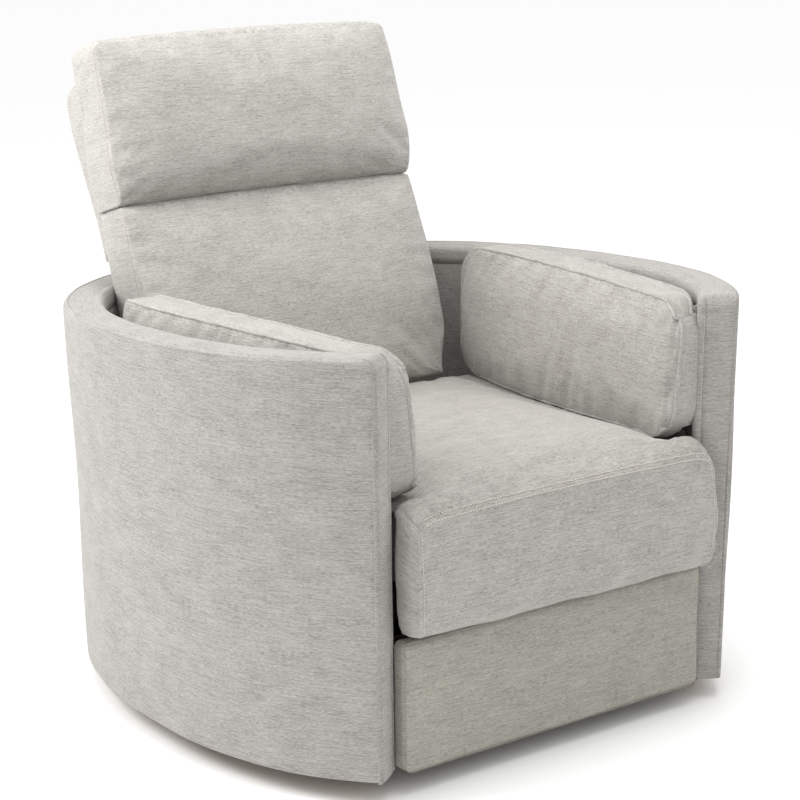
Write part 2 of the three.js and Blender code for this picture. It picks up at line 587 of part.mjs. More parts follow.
const crownSide = [
  [SEAT_REAR, cushionBottom], [SEAT_FRONT + 20, cushionBottom], [SEAT_FRONT + 20, LIP_TOP - 10],
  [SEAT_FRONT + 40, LIP_TOP + 22], [SEAT_FRONT + 90, SEAT_CROWN], [SEAT_REAR, SEAT_REAR_TOP]];
const crownedBlock = geometryOf(
  solid(frontPlate([...seatHalfOutline, ...mirrored(seatHalfOutline)], SEAT_FRONT + 20, SEAT_REAR))
    .intersect(solid(sidePlate(crownSide, -LIP_HALF_WIDTH, LIP_HALF_WIDTH))));
add('seat_cushion', 'fabric', joined(
  crownedBlock, sidePlate(lipOutline, -LIP_HALF_WIDTH, LIP_HALF_WIDTH)));

// Recline brackets: plates on the seat frame's rear corners that hold the back's pivots.
const reclineBracketOutside = STILE_OUTSIDE + RUNNING + PLATE;
const bracketOutline = [
  [SEAT_FRAME_REAR + GAP, SEAT_FRAME_BOTTOM + 4], [SEAT_FRAME_REAR + 24, SEAT_FRAME_BOTTOM + 4],
  [RECLINE_Y + 16, RECLINE_Z - 16], [RECLINE_Y + 12, RECLINE_Z + 14], [RECLINE_Y - 12, RECLINE_Z + 14],
  [SEAT_REAR + 4, RECLINE_Z - 16], [SEAT_REAR + 4, seatFrameTop - 6], [SEAT_FRAME_REAR + GAP, seatFrameTop - 12]];
addPair('recline_bracket', 'steel', (side) => sidePlate(
  bracketOutline, ...between(side, STILE_OUTSIDE + RUNNING, reclineBracketOutside),
  [[RECLINE_Y, RECLINE_Z, STUD_RADIUS + RUNNING]]));

// Back: everything here is in the leaning frame.
const back = new THREE.Group();
back.position.set(0, BACK_TOP_Y, BACK_TOP_Z);
back.rotation.x = -BACK_LEAN;
chair.add(back);

// The recline pivot in the leaning frame.
const pivotDepth = (RECLINE_Y - BACK_TOP_Y) * Math.cos(BACK_LEAN) - (RECLINE_Z - BACK_TOP_Z) * Math.sin(BACK_LEAN);
const pivotHeight = (RECLINE_Y - BACK_TOP_Y) * Math.sin(BACK_LEAN) + (RECLINE_Z - BACK_TOP_Z) * Math.cos(BACK_LEAN);

// A cushion with an outline in (x, z), its edges at depth 0 to depth, and a crown in front.
function backCushion(outline, depth, crown) {
  const inner = outline.map(([x, z]) => [x, z]);
  const middle = inner.reduce(([a, b], [x, z]) => [a + x / inner.length, b + z / inner.length], [0, 0]);
  const shrunk = inner.map(([x, z]) => [
    x - Math.sign(x - middle[0]) * crown, z - Math.sign(z - middle[1]) * crown]);
  return joined(
    frontPlate(shrunk.map(([x, z]) => [-x, z]), -crown, depth - 1),
    frontPlate(inner.map(([x, z]) => [-x, z]), -crown * 0.35, depth));
}
const CORNER = 16;
const headrestOutline = [
  [-HEADREST_HALF_WIDTH, -HEADREST_HEIGHT + CORNER], [-HEADREST_HALF_WIDTH + CORNER, -HEADREST_HEIGHT],
  [HEADREST_HALF_WIDTH - CORNER, -HEADREST_HEIGHT], [HEADREST_HALF_WIDTH, -HEADREST_HEIGHT + CORNER],
  [HEADREST_HALF_WIDTH, -CORNER], [HEADREST_HALF_WIDTH - CORNER, 0],
  [-HEADREST_HALF_WIDTH + CORNER, 0], [-HEADREST_HALF_WIDTH, -CORNER]];
add('headrest_cushion', 'fabric', backCushion(headrestOutline, HEADREST_DEPTH, CROWN), back);
const lumbarTop = -HEADREST_HEIGHT - 2;
const lumbarOutline = [
  [-LUMBAR_FOOT_HALF_WIDTH, LUMBAR_BOTTOM], [LUMBAR_FOOT_HALF_WIDTH, LUMBAR_BOTTOM],
  [LUMBAR_FOOT_HALF_WIDTH, LUMBAR_FOOT - 16], [LUMBAR_HALF_WIDTH, LUMBAR_FOOT],
  [LUMBAR_HALF_WIDTH, OUTER_BACK_RIM + 10], [LUMBAR_TOP_HALF_WIDTH, lumbarTop],
  [-LUMBAR_TOP_HALF_WIDTH, lumbarTop], [-LUMBAR_HALF_WIDTH, OUTER_BACK_RIM + 10],
  [-LUMBAR_HALF_WIDTH, LUMBAR_FOOT], [-LUMBAR_FOOT_HALF_WIDTH, LUMBAR_FOOT - 16]];
add('lumbar_cushion', 'fabric', backCushion(lumbarOutline, LUMBAR_DEPTH, CROWN), back);

// Back frame: two stiles and three rails, with a lug at the foot of each stile that carries a pivot stud.
const frameFront = HEADREST_DEPTH + GAP;
const frameRear = frameFront + BACK_FRAME_DEPTH;
const frameTop = OUTER_BACK_TOP - 20;
const stileInside = STILE_OUTSIDE - STILE_WIDTH;
const railAt = (z) => box(-stileInside - 1, stileInside + 1, frameFront, frameRear, z, z + 36);
const backPieces = [];
for (const side of [1, -1]) {
  backPieces.push(box(...between(side, stileInside, STILE_OUTSIDE), frameFront, frameRear, pivotHeight - 14, frameTop));
  backPieces.push(sidePlate([
    [pivotDepth - 14, pivotHeight - 14], [frameFront + 1, pivotHeight - 14], [frameFront + 1, pivotHeight + 24],
    [pivotDepth - 6, pivotHeight + 14], [pivotDepth - 14, pivotHeight + 8]],
  ...between(side, STILE_OUTSIDE - PLATE, STILE_OUTSIDE)));
  backPieces.push(roundBar(
    STUD_RADIUS, ...between(side, STILE_OUTSIDE - 2, STILE_OUTSIDE + RUNNING + PLATE + 2), pivotDepth, pivotHeight));
}
const lowRail = pivotHeight + 30;
backPieces.push(railAt(lowRail), railAt(-HEADREST_HEIGHT - 60), railAt(frameTop - 36));
add('back_frame', 'wood', joined(...backPieces), back);

// Back springs fill the space between the low and the middle rail, in front of the frame.
const springFront = LUMBAR_DEPTH + 4;
add('back_spring_grid', 'wire', wireGrid(
  stileInside + 10, lowRail + 4, -HEADREST_HEIGHT - 30, frameFront - GAP - SPRING_WIRE, frameFront - GAP, 5, 2,
  (u0, u1, v0, v1, d0, d1) => box(u0, u1, d0, d1, v0, v1)), back);

const panelFront = frameRear + GAP;
const outerHalf = [
  [OUTER_BACK_LOW_HALF_WIDTH, OUTER_BACK_BOTTOM], [OUTER_BACK_LOW_HALF_WIDTH, OUTER_BACK_RIM - 34],
  [OUTER_BACK_LOW_HALF_WIDTH + 24, OUTER_BACK_RIM - 10], [OUTER_BACK_RIM_HALF_WIDTH - 20, OUTER_BACK_RIM],
  [OUTER_BACK_RIM_HALF_WIDTH, OUTER_BACK_RIM + 16], [OUTER_BACK_HALF_WIDTH, OUTER_BACK_TOP - 60],
  [OUTER_BACK_HALF_WIDTH - 8, OUTER_BACK_TOP - 26], [OUTER_BACK_HALF_WIDTH - 34, OUTER_BACK_TOP]];
add('outer_back_panel', 'fabric', frontPlate(
  [...outerHalf, ...mirrored(outerHalf)], panelFront, panelFront + OUTER_BACK_DEPTH), back);

// ---- footrest -------------------------------------------------------------------------------------------

// A straight link between two pivots, as an outline in (y, z) with blunt ends.
function linkOutline([y0, z0], [y1, z1], width) {
  const length = Math.hypot(y1 - y0, z1 - z0);
  const along = [(y1 - y0) / length, (z1 - z0) / length];
  const half = width / 2;
  const corner = (y, z, a, b) => [y + along[0] * a - along[1] * b, z + along[1] * a + along[0] * b];
  return [
    corner(y0, z0, -half * 0.5, -half), corner(y1, z1, half * 0.5, -half), corner(y1, z1, half, 0),
    corner(y1, z1, half * 0.5, half), corner(y0, z0, -half * 0.5, half), corner(y0, z0, -half, 0)];
}
const footPivot = [FOOT_PIVOT_Y, FOOT_PIVOT_Z];
const knee = [
  FOOT_PIVOT_Y - FIRST_ARM * Math.cos(FIRST_ARM_ANGLE), FOOT_PIVOT_Z + FIRST_ARM * Math.sin(FIRST_ARM_ANGLE)];
const panelPivot = [PANEL_PIVOT_Y, PANEL_PIVOT_Z];
const FOOT_STUD_RADIUS = 5;

addPair('footrest_bracket', 'steel', (side) => sidePlate([
  [FOOT_PIVOT_Y - 34, SEAT_FRAME_BOTTOM - GAP], [FOOT_PIVOT_Y - 14, FOOT_PIVOT_Z - 12],
  [FOOT_PIVOT_Y + 14, FOOT_PIVOT_Z - 12], [FOOT_PIVOT_Y + 34, SEAT_FRAME_BOTTOM - GAP]],
...between(side, FOOT_BRACKET_OUTSIDE - PLATE, FOOT_BRACKET_OUTSIDE), [[...footPivot, TORQUE_TUBE_RADIUS + RUNNING]]));
const firstInside = FOOT_BRACKET_OUTSIDE + RUNNING;
const firstOutside = firstInside + PLATE;
const secondInside = firstOutside + RUNNING;
const secondOutside = secondInside + PLATE;
const thirdInside = secondOutside + RUNNING;
const thirdOutside = thirdInside + PLATE;
add('footrest_torque_tube', 'steel', roundBar(
  TORQUE_TUBE_RADIUS, -firstOutside - 2, firstOutside + 2, ...footPivot));
addPair('footrest_first_arm', 'steel', (side) => sidePlate(
  linkOutline(footPivot, knee, FOOT_LINK_WIDTH), ...between(side, firstInside, firstOutside),
  [[...footPivot, TORQUE_TUBE_RADIUS + GAP], [...knee, FOOT_STUD_RADIUS + RUNNING]]));
addPair('footrest_second_arm', 'steel', (side) => joined(
  sidePlate(linkOutline(knee, panelPivot, FOOT_LINK_WIDTH), ...between(side, secondInside, secondOutside)),
  roundBar(FOOT_STUD_RADIUS, ...between(side, firstInside, secondInside + 1), ...knee),
  roundBar(FOOT_STUD_RADIUS, ...between(side, secondOutside - 1, thirdOutside + 1), ...panelPivot)));
addPair('footrest_panel_bracket', 'steel', (side) => sidePlate([
  [PANEL_BACK + GAP, PANEL_PIVOT_Z - 36], [PANEL_PIVOT_Y + 8, PANEL_PIVOT_Z - 12], [PANEL_PIVOT_Y + 12, PANEL_PIVOT_Z],
  [PANEL_PIVOT_Y + 8, PANEL_PIVOT_Z + 12], [PANEL_BACK + GAP, PANEL_PIVOT_Z + 36]],
...between(side, thirdInside, thirdOutside), [[...panelPivot, FOOT_STUD_RADIUS + RUNNING]]));
const boardFront = PANEL_BACK - BOARD;
add('footrest_board', 'wood', box(
  -BOARD_HALF_WIDTH, BOARD_HALF_WIDTH, boardFront, PANEL_BACK, PANEL_BOTTOM + 10, PANEL_TOP - 8));
add('footrest_pad', 'fabric', box(
  -PANEL_HALF_WIDTH, PANEL_HALF_WIDTH, PANEL_FRONT, boardFront - GAP, PANEL_BOTTOM, PANEL_TOP));

// ---- release pull ---------------------------------------------------------------------------------------

const pullMiddle = -(SIDE_PANEL_INSIDE + 1 + PULL_THICKNESS / 2);
add('release_pull', 'plastic', cut(
  box(pullMiddle - PULL_THICKNESS / 2, pullMiddle + PULL_THICKNESS / 2, PULL_Y - PULL_WIDTH / 2, PULL_Y + PULL_WIDTH / 2,
    DECK_TOP + GAP, DECK_TOP + PULL_RISE),
  box(pullMiddle - 4, pullMiddle + 4, PULL_Y - PULL_WIDTH / 2 + 8, PULL_Y + PULL_WIDTH / 2 - 8,
    DECK_TOP + 8, DECK_TOP + PULL_RISE - 8)));

export default chair;
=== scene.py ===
import math

import bpy
import numpy as np
from mathutils import Matrix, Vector
from mathutils.bvhtree import BVHTree


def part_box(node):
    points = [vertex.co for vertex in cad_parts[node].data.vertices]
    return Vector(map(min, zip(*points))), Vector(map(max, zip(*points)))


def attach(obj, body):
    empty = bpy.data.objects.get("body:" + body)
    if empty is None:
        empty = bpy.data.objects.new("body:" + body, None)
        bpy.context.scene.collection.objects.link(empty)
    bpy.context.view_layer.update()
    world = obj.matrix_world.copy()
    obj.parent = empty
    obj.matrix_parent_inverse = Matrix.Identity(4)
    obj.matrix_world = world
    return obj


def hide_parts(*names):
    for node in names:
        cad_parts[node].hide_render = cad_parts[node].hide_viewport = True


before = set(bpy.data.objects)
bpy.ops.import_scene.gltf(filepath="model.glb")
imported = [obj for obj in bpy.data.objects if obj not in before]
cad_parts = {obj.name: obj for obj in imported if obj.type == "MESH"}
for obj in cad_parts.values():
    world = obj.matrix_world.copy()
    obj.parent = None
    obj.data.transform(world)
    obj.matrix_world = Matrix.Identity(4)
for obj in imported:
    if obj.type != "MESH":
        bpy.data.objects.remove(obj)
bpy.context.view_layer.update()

# Camera: a long lens a little above arm height, in front of the chair and to the sitter's right.
right, up = (0.80408, -0.59443, -0.01086), (0.15611, 0.19348, 0.96861)
ahead, stand = (0.57366, 0.78053, -0.24837), (-1.97398, -2.68602, 1.30595)
camera = bpy.data.objects.new("camera", bpy.data.cameras.new("camera"))
bpy.context.collection.objects.link(camera)
camera.matrix_world = Matrix([[right[k], up[k], -ahead[k], stand[k]] for k in range(3)] + [[0, 0, 0, 1]])
camera.data.lens = 99.33
camera.data.sensor_width = 36
camera.data.clip_end = 60
bpy.context.scene.camera = camera


# Swivel base: a cross of steel tube on a round floor ring, welded and powder-coated black. The ball race is
# bolted to it, black and greased, and one zinc-plated bolt through the middle holds the swivel plate down.
def node(tree, kind, settings, inputs):
    """Adds one node: settings are its properties, inputs are socket values or the sockets linked to it."""
    made = tree.nodes.new(kind)
    for name, value in settings.items():
        setattr(made, name, value)
    for name, value in inputs.items():
        if isinstance(value, bpy.types.NodeSocket):
            tree.links.new(value, made.inputs[name])
        else:
            made.inputs[name].default_value = value
    return made


def blank(name):
    """A new material with an empty node tree."""
    material = bpy.data.materials.new(name)
    material.use_nodes = True
    material.node_tree.nodes.clear()
    return material, material.node_tree


def linear(hex_colour):
    """sRGB hex to linear colour: c/12.92 below 0.04045, else ((c + 0.055)/1.055) to the power 2.4."""
    c = np.array([int(hex_colour[i:i + 2], 16) for i in (1, 3, 5)]) / 255
    return (*np.where(c <= 0.04045, c / 12.92, ((c + 0.055) / 1.055) ** 2.4), 1.0)


def hard_surface(name, low, high, grain, rough, relief, metallic=0.0, coat=0.0, ior=None):
    """Metal, coating or plastic: its colour wanders from low to high over patches ten grains wide, its
    roughness by 0.06 either side of rough, and noise one grain wide, in metres, stands relief metres high."""
    material, tree = blank(name)
    place = node(tree, "ShaderNodeTexCoord", {}, {}).outputs["Object"]
    patch = node(tree, "ShaderNodeTexNoise", {}, {
        "Vector": place, "Scale": 0.1 / grain, "Detail": 3.0, "Roughness": 0.6}).outputs["Fac"]
    fine = node(tree, "ShaderNodeTexNoise", {}, {"Vector": place, "Scale": 1 / grain, "Detail": 2.0})
    ramp = node(tree, "ShaderNodeValToRGB", {}, {"Fac": patch})
    for stop, where, tone in zip(ramp.color_ramp.elements, (0.35, 0.65), (low, high)):
        stop.position, stop.color = where, linear(tone)
    shine = node(tree, "ShaderNodeMapRange", {}, {
        "Value": patch, "From Min": 0.35, "From Max": 0.65, "To Min": rough - 0.06, "To Max": rough + 0.06})
    bump = node(tree, "ShaderNodeBump", {}, {
        "Height": fine.outputs["Fac"], "Strength": 1.0, "Distance": relief})
    shader = node(tree, "ShaderNodeBsdfPrincipled", {}, {
        "Base Color": ramp.outputs["Color"], "Roughness": shine.outputs["Result"],
        "Normal": bump.outputs["Normal"], "Metallic": metallic, "Coat Weight": coat})
    if ior:
        shader.inputs["IOR"].default_value = ior
    node(tree, "ShaderNodeOutputMaterial", {}, {"Surface": shader.outputs["BSDF"]})
    return material


def dress(material, *names):
    """Gives the frame's own meshes their material."""
    for name in names:
        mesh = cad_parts[name].data
        mesh.materials.clear()
        mesh.materials.append(material)


# Powder coat: a thick black skin with fine orange peel, which breaks broad highlights into a soft sparkle.
powder_coat = hard_surface("black_powder_coat", "#191a1b", "#242526", 0.0009, 0.46, 0.00005, ior=1.5)
# Greased race: dark steel under a wet film, which gives a sharp second highlight over a blurred first one.
greased_steel = hard_surface("greased_race_steel", "#26241f", "#3a3833", 0.0006, 0.38, 0.00002, 1.0, coat=0.5)
# Zinc plate: pale and slightly blue, with a crystalline grain that dulls its reflections in patches.
zinc_plate = hard_surface("zinc_plated_steel", "#b3b6ba", "#ced0d1", 0.0007, 0.34, 0.00001, 1.0)
dress(powder_coat, "floor_base")
dress(greased_steel, "bearing_race")
dress(zinc_plate, "centre_bolt")


# Glider and linkage: the swivel plate carries a pressed cradle, and four flat links hang the chair's rails from
# it. These, the slides and the footrest linkage are sheet and tube, dipped in black electrocoat after forming.
# Electrocoat: a thin even black film that shows the drawn lines of the sheet, with a low silky gloss.
electrocoat = hard_surface("black_electrocoat", "#1d1d1f", "#2a2a2c", 0.0014, 0.40, 0.00002, ior=1.5)
dress(electrocoat, "swivel_plate", "cradle_tube_front", "cradle_tube_rear", "footrest_torque_tube",
      *(f"{part}_{hand}" for hand in ("left", "right") for part in (
          "cradle_side", "glider_link_front", "glider_link_rear", "hanger_plate", "slide_rail", "seat_runner",
          "recline_bracket", "footrest_bracket", "footrest_first_arm", "footrest_second_arm",
          "footrest_panel_bracket")))


# Timber frame: rings, seat frame, back frame and footrest board are sawn from poplar plywood, and the rails
# and posts from softwood. Staples and glue hold them, and the upholstery hides them except from below.
def timber(name, along, through, ply, early, late, pore):
    """Raw wood as a solid pattern. Grain is noise drawn out 60 to 1 on the axis along. Plies this thick, in
    metres, alternate on the axis through, so they show on edges only and leave each face one tone."""
    material, tree = blank(name)
    place = node(tree, "ShaderNodeTexCoord", {}, {}).outputs["Object"]
    stretch = [1 / 0.0022] * 3
    stretch[along] = 1 / 0.13
    drawn = node(tree, "ShaderNodeMapping", {}, {"Vector": place, "Scale": stretch}).outputs["Vector"]
    grain = node(tree, "ShaderNodeTexNoise", {}, {
        "Vector": drawn, "Scale": 1.0, "Detail": 3.0, "Distortion": 0.4}).outputs["Fac"]
    axes = node(tree, "ShaderNodeSeparateXYZ", {}, {"Vector": place})
    turned = node(tree, "ShaderNodeMath", {"operation": "MULTIPLY"}, {
        0: axes.outputs[through], 1: math.pi / ply})
    wave = node(tree, "ShaderNodeMath", {"operation": "SINE"}, {0: turned.outputs[0]}).outputs[0]
    layer = node(tree, "ShaderNodeMapRange", {}, {
        "Value": wave, "From Min": -0.25, "From Max": 0.25, "To Min": 0.0, "To Max": 0.34}).outputs["Result"]
    tone = node(tree, "ShaderNodeMath", {"operation": "ADD"}, {0: grain, 1: layer}).outputs[0]
    ramp = node(tree, "ShaderNodeValToRGB", {}, {"Fac": tone})
    for stop, where, colour in zip(ramp.color_ramp.elements, (0.38, 0.92), (early, late)):
        stop.position, stop.color = where, linear(colour)
    bump = node(tree, "ShaderNodeBump", {}, {"Height": grain, "Strength": 1.0, "Distance": pore})
    shader = node(tree, "ShaderNodeBsdfPrincipled", {}, {
        "Base Color": ramp.outputs["Color"], "Normal": bump.outputs["Normal"], "Roughness": 0.72, "IOR": 1.5})
    node(tree, "ShaderNodeOutputMaterial", {}, {"Surface": shader.outputs["BSDF"]})
    return material


# Plywood: pale rotary-cut faces with long soft figure, and edges striped by 1.5 mm plies.
flat_plywood = timber("poplar_plywood_flat", 0, 2, 0.0015, "#d8c193", "#b08d5c", 0.00012)
upright_plywood = timber("poplar_plywood_upright", 2, 1, 0.0015, "#d8c193", "#b08d5c", 0.00012)
# Softwood: straight grain with broad pale earlywood between narrow darker lines 9 mm apart.
rail_softwood = timber("pine_rail_softwood", 0, 2, 0.0090, "#dcc193", "#bb9259", 0.00016)
post_softwood = timber("pine_post_softwood", 2, 1, 0.0090, "#dcc193", "#bb9259", 0.00016)
dress(flat_plywood, "frame_ring_bottom", "frame_ring_seat", "frame_ring_top", "seat_frame")
dress(upright_plywood, "back_frame", "footrest_board")
dress(rail_softwood, "cross_rail_front", "cross_rail_rear")
dress(post_softwood, *(f"frame_post_{end}_{hand}" for end in ("front", "rear") for hand in ("left", "right")))


# Springs: rows of wire clipped across the seat frame and up the back frame, tied by cross wires. They are bent
# cold from oil-tempered wire and carry the cushions.
# Oil-tempered wire: grey-brown scale, half dull, with thin bright streaks where it was drawn.
spring_wire = hard_surface("oil_tempered_spring_wire", "#4d4a45", "#75726c", 0.0005, 0.44, 0.00002, 1.0)
dress(spring_wire, "seat_spring_grid", "back_spring_grid")


# Recline release: a flat finger pull that stands up between the seat and the right pillow. It is moulded in
# dark glass-filled nylon and pulls the latch through a short stem.
# Nylon: near-black with a fine spark-eroded texture, which spreads the highlight into a dull satin.
nylon = hard_surface("moulded_dark_nylon", "#1f1f20", "#29292a", 0.0006, 0.50, 0.00004, ior=1.53)
dress(nylon, "release_pull")


# Outer panel of the barrel: one length of chenille over thin foam, stapled under the wall, that runs from
# arm front to arm front. It stops at the rim and the arm fronts, where the edge band is sewn to it.
def chenille(name, dark, middle, light, shift):
    """Woven polyester chenille. Short soft slubs about 7 mm long and 1.3 mm high lie along the weft, with
    longer thick picks among them, and the pile lies lighter and darker in patches some 40 mm across. To the
    eye it is matt and mottled, with streaks one way, and a faint bloom where the pile is seen edge on."""
    material, tree = blank(name)
    uv = node(tree, "ShaderNodeUVMap", {"uv_map": "cloth"}, {}).outputs["UV"]
    weave = {}
    for thread_kind, length, height, detail, offset in (
            ("slub", 0.0070, 0.0013, 2.0, 0.0), ("pick", 0.026, 0.0019, 2.0, 7.3),
            ("nap", 0.050, 0.040, 3.0, 3.1), ("pile", 0.0016, 0.0013, 1.0, 5.7)):
        place = node(tree, "ShaderNodeMapping", {}, {
            "Vector": uv, "Location": (shift + offset, shift, offset), "Scale": (1 / length, 1 / height, 1)})
        weave[thread_kind] = node(tree, "ShaderNodeTexNoise", {"noise_dimensions": "3D"}, {
            "Vector": place.outputs["Vector"], "Scale": 1.0, "Detail": detail,
            "Roughness": 0.62}).outputs["Fac"]
    blends = []
    for shares in ((("pick", 0.40), ("nap", 0.16), ("pile", 0.16)), (("pick", 0.45), ("pile", 0.35))):
        blend = weave["slub"]
        for thread_kind, share in shares:
            blend = node(tree, "ShaderNodeMix", {"data_type": "FLOAT"}, {
                "Factor": share, "A": blend, "B": weave[thread_kind]}).outputs["Result"]
        blends.append(blend)
    tone, relief = blends
    ramp = node(tree, "ShaderNodeValToRGB", {}, {"Fac": tone})
    stops = ramp.color_ramp.elements
    stops[0].position, stops[0].color = 0.36, linear(dark)
    stops[1].position, stops[1].color = 0.61, linear(light)
    stops.new(0.485).color = linear(middle)
    bump = node(tree, "ShaderNodeBump", {}, {"Height": relief, "Strength": 0.55, "Distance": 0.0016})
    shader = node(tree, "ShaderNodeBsdfPrincipled", {}, {
        "Base Color": ramp.outputs["Color"], "Normal": bump.outputs["Normal"], "Roughness": 0.92, "IOR": 1.46,
        "Specular IOR Level": 0.28, "Sheen Weight": 0.22, "Sheen Roughness": 0.45,
        "Sheen Tint": (0.95, 0.93, 0.9, 1)})
    node(tree, "ShaderNodeOutputMaterial", {}, {"Surface": shader.outputs["BSDF"]})
    return material


# Barrel chenille: a flat silver grey, pulled tight, so its streaks run level round the wall.
barrel_chenille = chenille("barrel_chenille_woven", "#73706b", "#94918d", "#a9a6a2", 0.0)

HALF_WIDTH, FRONT_REACH, REAR_REACH, SQUARENESS = 0.463, 0.509, 0.543, 2.26
FRONT_TURN = math.radians(-47.9)
REAR_TURN = math.pi - FRONT_TURN
WALL, BOTTOM, RIM_FRONT, RIM_REAR = 0.062, 0.031, 0.639, 0.606
LEAN_OUT, LEAN_TOP = 0.013, 0.638


def wall(turn, inset, z):
    """A point of the wall: turn is the angle round the plan, inset is the depth in from the outer face. The
    plan is a superellipse, deeper behind than in front, and the face leans out 13 mm from floor to rim."""
    turn, inset, z = np.broadcast_arrays(turn, inset, z)
    from_end = np.clip(np.minimum(turn - FRONT_TURN, REAR_TURN - turn) / math.radians(40), 0, 1)
    shear = math.radians(2) * (inset / WALL) * (1 - from_end * from_end * (3 - 2 * from_end))
    turned = turn + np.where(turn < math.pi / 2, -shear, shear)
    c, s = np.cos(turned), np.sin(turned)
    reach = np.where(s < 0, FRONT_REACH, REAR_REACH)
    x = HALF_WIDTH * np.sign(c) * np.abs(c) ** (2 / SQUARENESS)
    y = reach * np.sign(s) * np.abs(s) ** (2 / SQUARENESS)
    nx = np.sign(x) * np.abs(x / HALF_WIDTH) ** (SQUARENESS - 1) / HALF_WIDTH
    ny = np.sign(y) * np.abs(y / reach) ** (SQUARENESS - 1) / reach
    out = (LEAN_OUT * (z - BOTTOM) / (LEAN_TOP - BOTTOM) - inset) / np.hypot(nx, ny)
    return np.stack([x + out * nx, y + out * ny, z], -1)


def along_path(points):
    """The distance from the first point, along the path, to each of its points."""
    return np.concatenate([[0], np.cumsum(np.linalg.norm(np.diff(points, axis=0), axis=1))])


def round_off(edge, radius):
    """How far a rounded edge falls back this near to it: the radius less the height of a quarter circle."""
    return radius - np.sqrt(np.maximum(radius ** 2 - np.maximum(radius - edge, 0) ** 2, 0))


turns = np.linspace(FRONT_TURN, REAR_TURN, 6001)
plan = wall(turns, 0, BOTTOM)
run = along_path(wall(turns, 0, 0.35))
ROUND = run[-1]
rims = RIM_FRONT - (RIM_FRONT - RIM_REAR) * (plan[:, 1] - plan[0, 1]) / (0.430 - plan[0, 1])


def turn_at(distance):
    """The angle round the plan at a distance along the wall from the left arm front."""
    return np.interp(distance, run, turns)


def rim_at(distance):
    """Height of the rim: it falls evenly from the arm fronts to the rear."""
    return np.interp(distance, run, rims)


def grid_faces(rows, columns):
    """Quads between neighbouring rows and columns of a grid of points."""
    i, j = np.arange(rows - 1)[:, None], np.arange(columns - 1)[None, :]
    first, after = i * columns + j, (i + 1) * columns + j
    return np.stack([first, after, after + 1, first + 1], -1).reshape(-1, 4)


def piece(name, points, faces, uv, material, body, stands_for=()):
    """Makes a mesh piece from points, quads and cloth coordinates in metres, one for each quad corner or each
    point, and gives it its material, its body and the nodes it stands for."""
    points, faces, uv = np.reshape(points, (-1, 3)), np.reshape(faces, (-1, 4)), np.asarray(uv, float)
    mesh = bpy.data.meshes.new(name)
    mesh.from_pydata(points.tolist(), [], faces.tolist())
    corners = uv.reshape(-1, 2)[faces.reshape(-1)] if uv.size == 2 * len(points) else uv.reshape(-1, 2)
    mesh.uv_layers.new(name="cloth").data.foreach_set("uv", corners.astype(np.float32).reshape(-1))
    mesh.polygons.foreach_set("use_smooth", np.ones(len(faces), bool))
    mesh.materials.append(material)
    mesh.update()
    made = bpy.data.objects.new(name, mesh)
    bpy.context.collection.objects.link(made)
    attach(made, body)
    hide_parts(*stands_for)
    return made


def thicken(made, depth):
    """Gives a sewn panel its foam and lining, inwards from its face."""
    solid = made.modifiers.new("foam", "SOLIDIFY")
    solid.thickness, solid.offset, solid.use_even_offset = depth, -1, True


BAND, CORNER, FOOT_ROUND = 0.0045, 0.0155, 0.008
distance = np.concatenate([
    BAND + CORNER * (1 - np.cos(np.linspace(0, math.pi / 2, 12)[:-1])),
    np.linspace(BAND + CORNER, ROUND - BAND - CORNER, 420),
    ROUND - BAND - CORNER * (1 - np.cos(np.linspace(math.pi / 2, 0, 12)[1:]))])
near = np.minimum(distance - BAND, ROUND - BAND - distance)
panel_top = rim_at(distance) - BAND - round_off(near, CORNER)
rise = np.concatenate([
    [0, .003, .006, .010, .016, .026], np.linspace(.04, .96, 46), [.972, .982, .989, .994, .997, 1]])
z = BOTTOM + rise[:, None] * (panel_top - BOTTOM)[None, :]
D = np.broadcast_to(distance, z.shape)
to_seam = np.minimum(near[None, :], panel_top[None, :] - z)
inset = (0.0016 * np.exp(-to_seam / 0.0030) + round_off(z - BOTTOM, FOOT_ROUND)
         + 0.0012 * np.sin(D * 9.1 + 1) * np.sin(z * 14) + 0.0007 * np.sin(D * 31 + z * 12))
outer_cover = piece(
    "barrel_outer_panel", wall(turn_at(D), inset, z), grid_faces(*z.shape)[:, ::-1], np.stack([D, z], -1),
    barrel_chenille, "carriage", ["barrel_outer_cover"])
thicken(outer_cover, 0.011)


# Edge band of the barrel: one padded strip of the same cloth that caps both arm fronts and rolls over the
# rim between them. A seam holds it to the outer panel at the edge, and another to the lining.
def outline_path(radius):
    """Up the front edge of one arm, round a corner of this radius, along the rim, and down the other arm. Each
    row is the distance round, the height, and the two shares of a step inwards from the edge."""
    rise_to = rim_at(0) - radius
    arc = np.linspace(0, math.pi / 2, 14)[1:-1]
    up_z = np.linspace(BOTTOM, rise_to, 120)
    rim_d = np.linspace(radius, ROUND - radius, 520)
    first = np.stack([np.zeros(120), up_z, np.ones(120), np.zeros(120)], -1)
    turn = np.stack([
        radius * (1 - np.cos(arc)), rise_to + radius * np.sin(arc), np.cos(arc), -np.sin(arc)], -1)
    top = np.stack([rim_d, rim_at(rim_d), 0 * rim_d, -np.ones(520)], -1)
    last = np.concatenate([first, turn])[::-1] * [-1, 1, -1, 1] + [ROUND, 0, 0, 0]
    return np.concatenate([first, turn, top, last])


path = outline_path(0.020)
